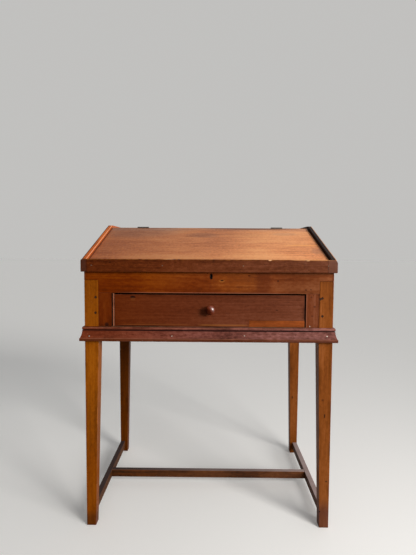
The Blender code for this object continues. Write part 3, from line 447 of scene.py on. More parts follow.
def old_wood(name, tone, turn, corners, seed, marks=(), edge=None, paint_gap_shade=False, highlight_coat=None):
    """A varnished wood finish for one piece."""
    material = start_finish(name)
    grains = {**GRAINS, **tone["waves"]}
    low, high = corners
    desk = Wire.node("TexCoord", output="Object")
    place = Wire.node("Mapping", {}, {"Vector": desk, "Rotation": turn, "Location": -(low + high) / 2})
    dice = random.Random(seed)
    along = dice.uniform(-PITH_ALONG, PITH_ALONG)
    beside = tone["pith"] * dice.uniform(*PITH_BESIDE)
    below = tone["pith"] * dice.uniform(*PITH_BELOW)
    timber = Wire.vector("ADD", place, (along, beside, below))
    colour, roughness, height = varnished_timber(timber, tone, grains)

    # Painted light and painted sheen that grow towards the right, as from a window on that side
    rightward = desk.parts()[0].rise(-CASE_HALF, CASE_HALF)
    side_light_gain = blend(rightward ** tone["bend"], *map(opaque, tone["side_light_and_sheen"]))
    colour = blend(1.0, colour, side_light_gain, "MULTIPLY")

    # Dents and dirt, and pale flecks
    dent = dents_in(timber)
    speck = grain_noise(desk, grains["speck"]).rise(*SPECKS)
    dirt = (dent * DENT_STRENGTH).most(speck * tone["speck"])
    colour = blend(dirt, colour, opaque(tone["deep"], DIRT_SHADE))
    fleck = grain_noise(timber, grains["fleck"]).rise(*FLECKS)
    colour = blend(fleck * tone["fleck"], colour, opaque(tone["worn"]))

    # Rubbed arrises, and grime just inside them
    inset = edge(desk) if edge else box_edge(place, low, high)
    ragged = grain_noise(timber, grains["ragged"]) - 0.5
    rubbed = (inset + ragged * (RUB_RAGGED * tone["rub"])).rise(tone["rub"], RUB_BARE * tone["rub"])
    patches = grain_noise(timber, grains["grime"]).rise(*GRIME_PATCHES)
    grime = inset.rise(*GRIME_BAND) * patches * tone["grime"]
    colour = blend(grime, colour, opaque(tone["deep"], GRIME_SHADE))
    colour = blend(rubbed * tone["worn_share"], colour, opaque(tone["worn"]))

    # Marks that this piece alone has
    pit = dent
    for mark in marks:
        mask = mark_mask(place if mark.own else desk, mark)
        colour = blend(mask * mark.strength, colour, opaque(mark.colour), mark.kind)
        pit = pit + mask * mark.depth

    # Painted shade on faces shut in a gap, and dust with a painted sheen on faces that look up, turning to
    # painted shade at the left end
    facing = Wire.node("NewGeometry", output="Normal").parts()
    if paint_gap_shade:
        sideways = facing[1].maths("ABSOLUTE").rise(*FACING_SIDEWAYS)
        colour = blend(sideways * SHUT_STRENGTH, colour, opaque(tone["deep"], SHUT_SHADE))
    if tone["dust_and_sheen"]:
        thick = grain_noise(desk, grains["dust_and_sheen"]) * DUST_AND_SHEEN_SWING + DUST_AND_SHEEN_LEAST
        dust_and_sheen_share = facing[2].rise(*FACING_UP) * thick * tone["dust_and_sheen"]
        colour = blend(dust_and_sheen_share, colour, blend(rightward, *map(opaque, tone["dust_and_sheen_colours"])))

    height = height + pit * HIGHER["pit"] + ragged * rubbed * HIGHER["ragged"]
    bump = Wire.node("Bump", {}, {"Strength": tone["relief"], "Distance": RELIEF_DEPTH, "Height": height})
    surface = {
        "Base Color": colour,
        "Roughness": roughness + rubbed * ROUGHER["rubbed"],
        "Specular IOR Level": tone["sheen"],
        "IOR": tone["ior"],
        "Normal": bump,
    }
    # A glossy coat only where the light's highlight falls: a painted highlight
    if highlight_coat:
        surface["Coat Weight"] = highlight_coat(desk)
        surface["Coat Roughness"] = HIGHLIGHT_COAT_ROUGHNESS
        surface["Coat IOR"] = HIGHLIGHT_COAT_IOR
    end_finish(Wire.node("BsdfPrincipled", {}, surface))
    return material


print("the case reaches", round(CASE_HALF, 4), "m to each side")

# %% [markdown]
# ## The finishes
#
# The boards of an old desk are seldom alike, and each took the stain in its own way. The legs are
# yellow-brown, the rail is redder, the drawer and the lid's front lip are dark, the moulding has a mauve
# cast, and the lid, which has been rubbed by sleeves, is pale. A tone starts from the plain one and says
# what is different:
#
# - deep, body and glow are its colours from thick varnish to thin, and worn is the colour where it is
#   rubbed through
# - pith is how far off the heart of the tree lies, and ring is the width of a growth ring
# - late, streak, thread, fibre, mottle, grit, cloud, pore, speck and fleck are how strongly each of these
#   shows
# - rub is how far from an arris the finish is worn, worn_share how bare it is there, and grime how dirty
#   beside it
# - gloss is the roughness, sheen and ior how much it mirrors, and relief how deep its surface is
# - drift is a painted light and sheen, as from a window on the right: its gain at the left end of the desk
#   and at the right, and bend is how late it changes
# - dust is how thick dust and a painted sheen lie on faces that look up, with its colour at the left end,
#   where it turns to painted shade, and at the right
# - waves are noises of its own in place of the recipe's

# %% Tones
EVEN = ((1.0, 1.0, 1.0), (1.0, 1.0, 1.0))
PLAIN = dict(
    pith=0.12, ring=0.0042, late=0.10, streak=0.8, thread=0.5, fibre=0.30, mottle=0.50, grit=0.15,
    cloud=0.8, pore=0.35, speck=0.4, fleck=0.12, rub=0.0016, worn_share=0.55, grime=0.5, gloss=0.42,
    sheen=0.07, ior=1.35, relief=0.45, side_light_and_sheen=EVEN, bend=1.0, dust_and_sheen=0.0,
    dust_and_sheen_colours=((0.06, 0.045, 0.045), (0.44, 0.345, 0.33)), waves={},
)
TONES = {
    "leg": dict(
        PLAIN, deep=(0.120, 0.028, 0.001), body=(0.230, 0.058, 0.002), glow=(0.315, 0.090, 0.005),
        worn=(0.42, 0.16, 0.070), side_light_and_sheen=((1.0, 1.0, 0.9), (0.88, 0.95, 4.3))),
    # The rear left leg: the leg's wood darkened as painted shade
    "shaded_leg": dict(
        PLAIN, deep=(0.060, 0.013, 0.0001), body=(0.110, 0.025, 0.0002), glow=(0.160, 0.042, 0.0006),
        worn=(0.26, 0.09, 0.035)),
    # Stretchers: dust with a painted sheen on their tops, dark at the left end as painted shade
    "stretcher": dict(
        PLAIN, deep=(0.034, 0.012, 0.004), body=(0.100, 0.026, 0.005), glow=(0.160, 0.048, 0.010),
        worn=(0.30, 0.13, 0.075), gloss=0.5, dust_and_sheen=0.95, side_light_and_sheen=((0.68, 0.84, 1.2), (1.38, 1.80, 3.5))),
    "side": dict(
        PLAIN, deep=(0.085, 0.018, 0.002), body=(0.155, 0.031, 0.004), glow=(0.215, 0.055, 0.008),
        worn=(0.30, 0.10, 0.04)),
    "back": dict(
        PLAIN, deep=(0.080, 0.028, 0.008), body=(0.160, 0.062, 0.022), glow=(0.240, 0.105, 0.045),
        worn=(0.33, 0.17, 0.085), gloss=0.62),
    "inside": dict(
        PLAIN, deep=(0.170, 0.088, 0.036), body=(0.310, 0.180, 0.085), glow=(0.420, 0.265, 0.135),
        worn=(0.46, 0.30, 0.165), gloss=0.68, late=0.16),
    "rail": dict(
        PLAIN, deep=(0.075, 0.0105, 0.0003), body=(0.128, 0.0186, 0.0004), glow=(0.200, 0.040, 0.0014),
        worn=(0.30, 0.10, 0.05), worn_share=0.08, cloud=1.1, bend=1.8,
        side_light_and_sheen=((1.02, 1.0, 0.5), (1.21, 1.98, 21.0))),
    "stile": dict(
        PLAIN, deep=(0.075, 0.011, 0.0005), body=(0.118, 0.0185, 0.0011), glow=(0.165, 0.034, 0.003),
        worn=(0.30, 0.09, 0.045), worn_share=0.08, side_light_and_sheen=((1.0, 0.95, 0.8), (1.17, 1.80, 9.2))),
    "moulding": dict(
        PLAIN, deep=(0.065, 0.016, 0.008), body=(0.163, 0.044, 0.024), glow=(0.262, 0.084, 0.051),
        worn=(0.36, 0.14, 0.085), speck=0.9, fleck=0.55, mottle=1.0, cloud=1.4, gloss=0.48,
        side_light_and_sheen=((0.65, 0.42, 0.24), (1.11, 1.48, 2.18))),
    "lid": dict(
        PLAIN, deep=(0.410, 0.127, 0.044), body=(0.612, 0.219, 0.082), glow=(0.705, 0.306, 0.124),
        worn=(0.72, 0.36, 0.19), gloss=0.36, sheen=0.2, ior=1.3, fleck=0.3, pore=0.25, pith=0.25,
        ring=0.0055, late=0.08, streak=0.45, thread=0.75, fibre=0.7, mottle=0.6, grit=0.6, cloud=1.2,
        side_light_and_sheen=((0.75, 0.67, 0.62), (1.36, 1.46, 1.48)),
        waves={
            "streak": Grain(1.43, 26.0, 4.0, 0.62),
            "thread": Grain(4.42, 170.0, 3.0, 0.6),
            "mottle": Grain(12.0, 120.0, 3.0, 0.6),
        }),
    "front_lip": dict(
        PLAIN, deep=(0.050, 0.010, 0.002), body=(0.106, 0.0245, 0.0052), glow=(0.160, 0.043, 0.012),
        worn=(0.30, 0.105, 0.022), speck=0.7, fleck=0.3, mottle=0.8, rub=0.0030, worn_share=0.75,
        grime=0.1, side_light_and_sheen=((0.98, 0.82, 0.65), (0.95, 1.10, 1.9)),
        waves={"ragged": Grain(75.0, 60.0, 4.0, 0.6)}),
    "left_lip": dict(
        PLAIN, deep=(0.420, 0.085, 0.014), body=(0.660, 0.150, 0.028), glow=(0.800, 0.215, 0.050),
        worn=(0.80, 0.38, 0.20)),
    # The right-hand end lips, painted near black: painted shade of their inner faces, spread over the whole
    # lip
    "right_lip": dict(
        PLAIN, deep=(0.010, 0.006, 0.005), body=(0.026, 0.014, 0.011), glow=(0.048, 0.024, 0.018),
        worn=(0.09, 0.045, 0.032)),
    "drawer": dict(
        PLAIN, deep=(0.060, 0.0095, 0.001), body=(0.103, 0.019, 0.0024), glow=(0.142, 0.032, 0.005),
        worn=(0.27, 0.085, 0.045), streak=0.5, worn_share=0.4,
        side_light_and_sheen=((0.94, 0.80, 0.62), (1.27, 1.90, 6.6))),
    "patch": dict(
        PLAIN, deep=(0.158, 0.033, 0.007), body=(0.255, 0.058, 0.011), glow=(0.325, 0.084, 0.017),
        worn=(0.32, 0.11, 0.05), worn_share=0.2),
    "slip": dict(
        PLAIN, deep=(0.170, 0.052, 0.026), body=(0.300, 0.100, 0.052), glow=(0.400, 0.150, 0.080),
        worn=(0.46, 0.20, 0.11)),
    "knob": dict(
        PLAIN, deep=(0.065, 0.010, 0.003), body=(0.175, 0.031, 0.010), glow=(0.310, 0.064, 0.022),
        worn=(0.22, 0.09, 0.045), gloss=0.45, sheen=0.04),
}
print("tones:", len(TONES))

# %% [markdown]
# ## Tone and grain of each piece
#
# Grain runs along the length of a board: x across the desk, y from front to back and z upwards. The lid's
# board and end lips lie on the slope, so their grain turns with it. The faces of the drawer and of its
# opening look into a gap.

# %% Which tone and which grain each piece has
LID_SLOPE = math.radians(19.8)
GRAIN_TURNS = {"x": (0.0, 0.0, 0.0), "y": (0.0, 0.0, -math.pi / 2), "z": (0.0, math.pi / 2, 0.0)}
LID_TURNS = {"x": (-LID_SLOPE, 0.0, 0.0), "y": (-LID_SLOPE, 0.0, -math.pi / 2)}
BOARDS = {
    "leg_front_left": ("leg", "z"), "leg_front_right": ("leg", "z"),
    "leg_rear_left": ("shaded_leg", "z"), "leg_rear_right": ("leg", "z"),
    "side_stretcher_left": ("stretcher", "y"), "side_stretcher_right": ("stretcher", "y"),
    "cross_stretcher": ("stretcher", "x"),
    "side_board_left": ("side", "y"), "side_board_right": ("side", "y"), "back_board": ("back", "x"),
    "well_floor": ("inside", "x"), "well_cleat_left": ("inside", "y"), "well_cleat_right": ("inside", "y"),
    "front_rail": ("rail", "x"), "front_stile_left": ("stile", "z"), "front_stile_right": ("stile", "z"),
    "lower_rail": ("inside", "x"),
    "moulding_front": ("moulding", "x"),
    "moulding_left": ("moulding", "y"), "moulding_right": ("moulding", "y"),
    "top_board": ("lid", "x"), "top_lip_left": ("left_lip", "y"), "top_lip_right": ("right_lip", "y"),
    "drawer_runner_left": ("inside", "y"), "drawer_runner_right": ("inside", "y"),
    "drawer_guide_left": ("inside", "y"), "drawer_guide_right": ("inside", "y"),
    "drawer_stop_left": ("inside", "y"), "drawer_stop_right": ("inside", "y"),
    "lid_board": ("lid", "x"), "lid_front_lip": ("front_lip", "x"),
    "lid_lip_left": ("left_lip", "y"), "lid_lip_right": ("right_lip", "y"),
    "drawer_front": ("drawer", "x"), "drawer_front_patch": ("patch", "x"),
    "drawer_front_slip": ("slip", "z"),
    "drawer_side_left": ("inside", "y"), "drawer_side_right": ("inside", "y"),
    "drawer_back": ("inside", "x"), "drawer_bottom": ("inside", "x"), "drawer_knob": ("knob", "x"),
}
TILTED = {"lid_board", "lid_lip_left", "lid_lip_right"}
# Pieces whose faces in the drawer's gaps get painted shade
IN_GAPS = {"front_rail", "front_stile_left", "front_stile_right", "drawer_front", "drawer_front_patch",
           "drawer_front_slip"}
print("wooden pieces:", len(BOARDS), "on the slope:", len(TILTED), "in gaps:", len(IN_GAPS))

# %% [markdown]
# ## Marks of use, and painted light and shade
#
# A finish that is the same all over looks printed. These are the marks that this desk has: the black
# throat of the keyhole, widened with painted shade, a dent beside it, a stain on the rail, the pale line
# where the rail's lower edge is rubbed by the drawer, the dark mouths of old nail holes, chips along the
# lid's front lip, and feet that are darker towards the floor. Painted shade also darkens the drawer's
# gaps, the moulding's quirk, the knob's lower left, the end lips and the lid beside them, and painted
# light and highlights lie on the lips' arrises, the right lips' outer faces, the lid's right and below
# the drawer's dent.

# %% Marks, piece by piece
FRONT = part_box("front_rail")[0].y
RAIL_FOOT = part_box("front_rail")[0].z
POST_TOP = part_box("leg_front_left")[1].z
STILE_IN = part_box("front_stile_right")[0].x
STILE_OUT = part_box("front_stile_right")[1].x
STILE_MID = (STILE_OUT + STILE_IN) / 2
POST_MID = (STILE_OUT + CASE_HALF) / 2
DRAWER_LOW, DRAWER_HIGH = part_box("drawer_front")
WAIST_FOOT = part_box("moulding_front")[0].z
BEAD_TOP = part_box("moulding_front")[1].z
QUIRK_Z = BEAD_TOP - 0.0122
LID_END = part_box("lid_board")[1].x
# Half of an end lip's section
LIP_HALF_WIDTH = 0.0085
LIP_HALF_HEIGHT = 0.01425
# Places of nails on the front, across and up
LEFT_POST_NAILS = ((-0.4160, 0.8700), (-0.4166, 0.8124))
RIGHT_POST_NAILS = ((0.4085, 0.8680), (0.4161, 0.8710), (0.4172, 0.8050))
# A reach that takes in the whole desk
ALL = 9.0
BLACK = (0.004, 0.003, 0.003)
RUBBED = (0.36, 0.135, 0.075)
SMUDGE = (0.03, 0.008, 0.005)
KNOT = (0.30, 0.08, 0.035)
CHIP = (0.85, 0.46, 0.22)


def on_front(x, z):
    return (x, FRONT, z)


def spot(x, z, half_width, half_height, colour, strength, depth=0.0):
    """An oval mark on the front."""
    return Mark(on_front(x, z), (half_width, ALL, half_height), colour, strength, depth)


def line(x, z, half_width, half_height, colour, strength):
    """A thin straight mark on the front, such as a joint or a rubbed edge."""
    return Mark(on_front(x, z), (half_width, ALL, half_height), colour, strength, square=True)


def nail_hole(x, z, reach=0.0060):
    return spot(x, z, reach, reach, BLACK, 0.97, 1.0)


def tint(middle, reach, colour):
    """A broad change of colour that leaves the grain visible, such as a stain, a bleach or the knob's painted
    shade.
    """
    return Mark(middle, reach, colour, 1.0, kind="MULTIPLY")


def lip_line(across, height, half_width, half_height, colour, strength, square=False):
    """A mark along the whole of an end lip, placed in the lip's own frame."""
    middle = (0.0, across, height)
    reach = (ALL, half_width, half_height)
    return Mark(middle, reach, colour, strength, square=square, own=True)


MARKS = {
    "front_rail": [
        tint(on_front(0.100, 0.932), (0.110, ALL, 0.070), (1.34, 1.56, 1.45)),
        tint(on_front(0.335, 0.922), (0.120, ALL, 0.060), (0.79, 0.75, 0.70)),
        spot(0.200, 0.930, 0.038, 0.095, (0.075, 0.014, 0.004), 0.42),
        line(0.0, RAIL_FOOT + 0.0010, STILE_IN + 0.002, 0.0024, RUBBED, 0.40),
        line(-STILE_MID, RAIL_FOOT, 0.026, 0.0010, BLACK, 0.30),
        line(STILE_MID, RAIL_FOOT, 0.026, 0.0010, BLACK, 0.35),
        line(-POST_MID, POST_TOP + 0.0006, 0.027, 0.0014, BLACK, 0.40),
        line(POST_MID, POST_TOP + 0.0006, 0.027, 0.0014, BLACK, 0.45),
        spot(0.0483, 0.9325, 0.014, 0.007, (0.34, 0.115, 0.02), 0.5),
        spot(0.0483, 0.9345, 0.0085, 0.0030, BLACK, 0.97, 1.0),
        spot(0.2529, 0.9339, 0.0040, 0.0040, BLACK, 0.75, 0.6),
        spot(0.3553, 0.9015, 0.0060, 0.0030, BLACK, 0.6, 0.5),
        spot(0.3735, 0.9025, 0.0040, 0.0030, BLACK, 0.6, 0.5),
        # Painted shade that widens the keyhole's black throat
        spot(0.009, 0.9488, 0.0078, 0.0140, BLACK, 0.97),
    ],
    "front_stile_left": [
        spot(-0.3757, 0.7690, 0.0100, 0.0110, BLACK, 0.7, 0.3),
        line(-STILE_OUT, 0.84, 0.0013, ALL, BLACK, 0.35),
    ],
    "front_stile_right": [
        line(STILE_OUT, 0.84, 0.0014, ALL, BLACK, 0.5),
        line(STILE_IN + 0.0020, 0.84, 0.0022, ALL, RUBBED, 0.35),
        spot(0.3880, 0.8400, 0.0060, 0.0050, SMUDGE, 0.5),
        spot(0.3760, 0.8750, 0.0050, 0.0040, SMUDGE, 0.5),
        spot(0.3800, 0.8050, 0.0040, 0.0050, SMUDGE, 0.4),
    ],
    "leg_front_left": [
        *(nail_hole(x, z) for x, z in LEFT_POST_NAILS),
        tint(on_front(-0.440, 0.530), (0.10, ALL, 0.26), (1.18, 1.20, 1.0)),
        tint(on_front(-0.440, 0.100), (0.10, ALL, 0.30), (0.93, 0.84, 0.40)),
        tint(on_front(-0.440, 0.000), (0.10, ALL, 0.065), (0.58, 0.62, 3.0)),
    ],
    "leg_front_right": [
        *(nail_hole(x, z) for x, z in RIGHT_POST_NAILS),
        spot(0.4335, 0.4314, 0.0030, 0.0105, BLACK, 0.9, 0.8),
        spot(0.4247, 0.4918, 0.0055, 0.0055, (0.05, 0.012, 0.003), 0.6, 0.2),
        tint(on_front(0.440, 0.000), (0.10, ALL, 0.125), (0.56, 0.64, 1.7)),
        nail_hole(0.4448, 0.1805, 0.0036),
        nail_hole(0.4229, 0.0632, 0.0036),
        Mark((0.440, -0.280, 0.015), (0.05, 0.05, 0.06), (0.34, 0.12, 0.05), 0.12),
    ],
    "leg_rear_right": [Mark((0.4284, 0.2785, 0.2950), (0.0034, ALL, 0.0100), BLACK, 0.9, 0.6)],
    "cross_stretcher": [tint((-0.345, 0.0, 0.040), (0.140, ALL, ALL), (1.38, 1.22, 0.95))],
    "drawer_front": [
        line(-0.190, DRAWER_LOW.z + 0.0066, 0.150, 0.0024, (0.30, 0.10, 0.022), 0.22),
        line(0.055, DRAWER_LOW.z + 0.0062, 0.105, 0.0024, (0.34, 0.12, 0.025), 0.5),
        # Painted shade of the gap below the drawer's left half
        line(-0.260, DRAWER_LOW.z + 0.0010, 0.095, 0.0026, BLACK, 0.8),
        line(DRAWER_LOW.x + 0.0064, 0.823, 0.0012, ALL, BLACK, 0.6),
        # Painted shade of the gap at the drawer's right end
        line(DRAWER_HIGH.x - 0.0002, 0.85, 0.0022, ALL, BLACK, 0.8),
        # Painted shade of the gap above the drawer
        spot(0.0, DRAWER_HIGH.z, 0.30, 0.0035, BLACK, 0.35),
        spot(-0.2789, 0.8715, 0.0135, 0.0062, (0.006, 0.002, 0.002), 0.95, 0.8),
        # Painted highlight on the lower rim of the dent above
        spot(-0.2780, 0.8640, 0.0120, 0.0080, (0.17, 0.05, 0.012), 0.4),
    ],
    # Painted shade on the knob's lower left, away from the light
    "drawer_knob": [tint((-0.006, -0.330, 0.820), (0.024, 0.030, 0.022), (0.36, 0.32, 0.30))],
    "lid_board": [
        tint((-0.030, 0.000, 1.120), (0.095, 0.045, 0.050), (0.74, 0.78, 0.90)),
        tint((-0.330, 0.060, 1.140), (0.260, 0.150, 0.100), (0.86, 1.0, 1.30)),
        tint((0.100, 0.110, 1.148), (ALL, 0.070, 0.050), (0.85, 0.93, 1.16)),
        Mark((0.190, 0.1045, 1.148), (0.290, 0.0300, 0.050), (0.10, 0.025, 0.015), 0.85),
        Mark((-0.140, -0.3055, 1.012), (0.050, 0.0200, 0.020), (0.95, 0.52, 0.31), 0.8),
        Mark((-0.215, -0.2900, 1.017), (0.014, 0.0120, 0.012), (0.20, 0.085, 0.06), 0.6),
        # Painted highlight: a bright streak on the lid's right
        Mark((0.375, -0.120, 1.078), (0.095, 0.0130, 0.050), (0.95, 0.42, 0.13), 0.6),
        tint((0.330, 0.020, 1.129), (0.080, 0.030, 0.050), (0.86, 0.90, 1.02)),
        tint((0.425, -0.190, 1.053), (0.036, 0.050, 0.050), (0.80, 0.84, 0.98)),
        Mark((0.1626, -0.029, 1.111), (0.009, 0.0120, 0.012), KNOT, 0.6),
        Mark((0.2027, -0.034, 1.109), (0.008, 0.0120, 0.012), KNOT, 0.6),
        tint((0.140, 0.010, 1.113), (0.120, 0.040, 0.050), (0.92, 0.92, 0.91)),
        # Painted shade in the crease where the lid meets its left lip
        Mark((-LID_END, 0.0, 1.08), (0.0060, ALL, ALL), (0.07, 0.022, 0.020), 0.8, square=True),
        # Painted shadow that the right lip casts on the lid
        Mark((LID_END, 0.0, 1.08), (0.0060, ALL, ALL), (0.05, 0.018, 0.014), 0.8, square=True),
    ],
    "lid_lip_left": [
        # Painted shade on the lower part of the inner face, down to the crease at the lid; a painted
        # highlight on the inner top arris; painted shade on the outer top arris
        lip_line(-LIP_HALF_WIDTH, -0.002, 0.0040, 0.0140, (0.26, 0.062, 0.018), 0.85, square=True),
        lip_line(-LIP_HALF_WIDTH, LIP_HALF_HEIGHT, 0.0030, 0.0026, (0.80, 0.36, 0.20), 0.75),
        lip_line(LIP_HALF_WIDTH, LIP_HALF_HEIGHT, 0.0056, 0.0056, (0.05, 0.014, 0.008), 0.9),
    ],
    "lid_lip_right": [
        # Painted light on the outer face and along the outer top arris, which face the light, against the
        # lip's painted shade
        lip_line(-LIP_HALF_WIDTH, -0.004, 0.0030, 0.0180, (0.15, 0.036, 0.008), 0.9, square=True),
        lip_line(-LIP_HALF_WIDTH, LIP_HALF_HEIGHT, 0.0044, 0.0048, (0.62, 0.30, 0.15), 0.9),
    ],
    "lid_front_lip": [
        Mark((-0.140, -0.322, 1.012), (0.040, 0.0200, 0.0022), (0.80, 0.42, 0.20), 0.6),
        Mark((0.2207, -0.322, 1.011), (0.008, 0.0100, 0.0048), CHIP, 0.9),
        Mark((0.3578, -0.322, 1.011), (0.009, 0.0100, 0.0048), CHIP, 0.9),
        line(0.3700, 1.0112, 0.085, 0.0026, (0.62, 0.28, 0.10), 0.6),
        line(-0.4550, 0.985, 0.0120, ALL, (0.060, 0.026, 0.018), 0.55),
        line(-0.4435, 0.985, 0.0014, ALL, BLACK, 0.45),
        line(0.4490, 0.985, 0.0200, ALL, (0.120, 0.055, 0.038), 0.5),
        line(0.4300, 0.985, 0.0014, ALL, BLACK, 0.4),
    ],
}
# The level top's right lip takes the same painted light on its outer face
MARKS["top_lip_right"] = MARKS["lid_lip_right"][:1]
for node in ("moulding_front", "moulding_left", "moulding_right"):
    MARKS[node] = [
        # Painted shade in the quirk under the bead
        Mark((0.0, 0.0, QUIRK_Z), (ALL, ALL, 0.0034), (0.010, 0.003, 0.003), 0.95),
        Mark((0.0, 0.0, WAIST_FOOT), (ALL, ALL, 0.0135), (0.085, 0.021, 0.005), 0.70, square=True),
    ]
print("pieces with marks of their own:", len(MARKS))

# %% [markdown]
# ## Where each board is rubbed
#
# The recipe finds a board's arrises from its box. A leg tapers on two faces, a moulding has its high
# lines along the bead and the lower fillet, and the lid's front lip is rubbed along its top alone, so
# these three say for themselves how far a point is from the nearest rubbed line. The knob says where its
# glossy coat lies: on its upper right alone, where the light's highlight falls, as a painted highlight.

# %% Rubbed places, and the knob's painted highlight
LEG_SECTION = 0.051
FOOT_SECTION = 0.035
TAPER_TOP = 0.694
WAIST_COVER = 0.01
FILLET_TOP = WAIST_FOOT + 0.011
BEAD_NOSE = BEAD_TOP - 0.004
HIGHLIGHT_LEAN = (0.75, 0.66)
HIGHLIGHT_BAND = (-0.001, 0.010)


def leg_edge(node):
    """Distance to a tapered leg's nearest arris. Above the waist, where boards meet it, none is near."""
    low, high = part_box(node)
    outer_x = max((low.x, high.x), key=abs)
    outer_y = max((low.y, high.y), key=abs)

    def edge(desk):
        x, y, z = desk.parts()
        width = (z * (1.0 / TAPER_TOP)).least(1.0) * (LEG_SECTION - FOOT_SECTION) + FOOT_SECTION
        across = (x - outer_x).maths("ABSOLUTE")
        through = (y - outer_y).maths("ABSOLUTE")
        bare = middle_of(across.least(width - across), through.least(width - through), z.least(high.z - z))
        return bare + z.rise(WAIST_FOOT - WAIST_COVER, WAIST_FOOT)

    return edge


def front_lip_edge(desk):
    """Distance to the lip's front top arris."""
    low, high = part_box("lid_front_lip")
    _, y, z = desk.parts()
    return (high.z - z).most(y - low.y)


def moulding_edge(desk):
    """Distance to the bead's nose or to the fillet's top, in height."""
    z = desk.parts()[2]
    return (z - FILLET_TOP).maths("ABSOLUTE").least((z - BEAD_NOSE).maths("ABSOLUTE"))


def knob_highlight_coat(desk):
    """A glossy coat on the knob's upper right alone, where the light's highlight falls: a painted highlight.
    """
    low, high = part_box("drawer_knob")
    middle = (low + high) / 2
    x, _, z = desk.parts()
    return ((x - middle.x) * HIGHLIGHT_LEAN[0] + (z - middle.z) * HIGHLIGHT_LEAN[1]).rise(*HIGHLIGHT_BAND)


EDGES = {"moulding": moulding_edge, "front_lip": front_lip_edge}
# The knob's coat lies where the light's highlight falls: a painted highlight
HIGHLIGHT_COATS = {"knob": knob_highlight_coat}
print("tones with rubbed lines of their own:", len(EDGES), "and polished:", len(HIGHLIGHT_COATS))

# %% Dressing every board
def own_box(points, turn):
    """Corners of a piece in its own frame, where the grain runs along X."""
    spin = Euler(turn).to_matrix()
    turned_points = [spin @ point for point in points]
    return [Vector(pick(p[i] for p in turned_points) for i in range(3)) for pick in (min, max)]


def wood_for(node, seed):
    """The finish of one wooden piece."""
    tone, grain = BOARDS[node]
    turn = (LID_TURNS if node in TILTED else GRAIN_TURNS)[grain]
    corners = own_box([vertex.co for vertex in NODES[node].data.vertices], turn)
    edge = leg_edge(node) if node.startswith("leg_") else EDGES.get(tone)
    return old_wood(node + "_finish", TONES[tone], turn, corners, seed, marks=MARKS.get(node, ()), edge=edge,
                    paint_gap_shade=node in IN_GAPS, highlight_coat=HIGHLIGHT_COATS.get(tone))


WOODS = {node: wood_for(node, seed) for seed, node in enumerate(BOARDS)}
for node, wood in WOODS.items():
    NODES[node].material_slots[0].material = wood
print("wooden pieces dressed:", len(WOODS))

# %% [markdown]
# ## Soft arrises
#
# No arris of an old desk is sharp. The solids came in as triangles, so each board is first welded, its
# flat faces are dissolved into whole ones, and only then are the edges that turn by more than a little
# given a small round. Pieces that are made anew further on are left out.

# %% Rounding the boards
WELD_REACH = 1e-5
FLAT_TURN = math.radians(0.5)
SOFT_EDGE = 0.0009
SOFT_STEPS = 2
SOFT_TURN = math.radians(40)
REMADE = {"drawer_knob", "lid_front_lip", "moulding_front", "moulding_left", "moulding_right"}
softened = [node for node in WOODS if node not in REMADE]
for node in softened:
    steps = NODES[node].modifiers
    steps.new("weld", "WELD").merge_threshold = WELD_REACH
    flatten = steps.new("flatten", "DECIMATE")
    flatten.decimate_type = "DISSOLVE"
    flatten.angle_limit = FLAT_TURN
    soften = steps.new("soften", "BEVEL")
    soften.width = SOFT_EDGE
    soften.segments = SOFT_STEPS
    soften.limit_method = "ANGLE"
    soften.angle_limit = SOFT_TURN
print("boards with soft arrises:", len(softened))

# %% [markdown]
# ## Iron and brass
#
# The hinges, the lock, the nails and the screws are plain hardware: iron that has browned, and a brass
# bolt that has dulled. Rust and tarnish come in patches, so noise decides which of two colours shows, and
# the patches are rougher and much less metallic.

# %% Metal finishes
RUST_CLOUD = Grain(130.0, 130.0, 4.0, 0.65)
RUST_PITS = Grain(900.0, 900.0, 2.0)
RUST_FROM = 0.62
RUST_TO = 0.72
RUST_DULLS = 0.75
METAL_ROUGHNESS = 0.42
RUST_ROUGHENS = 0.3
PIT_ROUGHENS = 0.1
RUST_HEIGHT = 0.8
PIT_HEIGHT = 0.6
METAL_RELIEF = 0.4
METAL_DEPTH = 0.0002


def old_metal(name, bright, dull, rust_share):
    """A metal finish that is bright in some places and rusty or dull in others."""
    material = start_finish(name)
    desk = Wire.node("TexCoord", output="Object")
    cloud = grain_noise(desk, RUST_CLOUD)
    pitting = grain_noise(desk, RUST_PITS)
    rust = cloud.rise(RUST_FROM - rust_share, RUST_TO - rust_share)
    height = pitting * PIT_HEIGHT + cloud * RUST_HEIGHT
    bump = Wire.node("Bump", {}, {"Strength": METAL_RELIEF, "Distance": METAL_DEPTH, "Height": height})
    end_finish(Wire.node("BsdfPrincipled", {}, {
        "Base Color": blend(rust, opaque(bright), opaque(dull)),
        "Metallic": 1.0 - rust * RUST_DULLS,
        "Roughness": METAL_ROUGHNESS + rust * RUST_ROUGHENS + pitting * PIT_ROUGHENS,
        "Normal": bump}))
    return material


browned_iron = old_metal("browned_iron", (0.13, 0.115, 0.10), (0.045, 0.026, 0.016), 0.12)
rubbed_iron = old_metal("rubbed_iron", (0.17, 0.12, 0.085), (0.14, 0.08, 0.05), 0.20)
pale_iron = old_metal("pale_iron", (0.42, 0.35, 0.29), (0.36, 0.27, 0.21), 0.15)
black_iron = old_metal("black_iron", (0.012, 0.010, 0.010), (0.008, 0.006, 0.005), 0.30)
dull_brass = old_metal("dull_brass", (0.50, 0.34, 0.13), (0.15, 0.085, 0.030), 0.02)
IRONWORK = [node for node in NODES if node.startswith(("hinge_", "lock_")) and node != "lock_bolt"]
for node in IRONWORK:
    NODES[node].material_slots[0].material = browned_iron
NODES["lock_bolt"].material_slots[0].material = dull_brass
print("iron pieces:", len(IRONWORK))

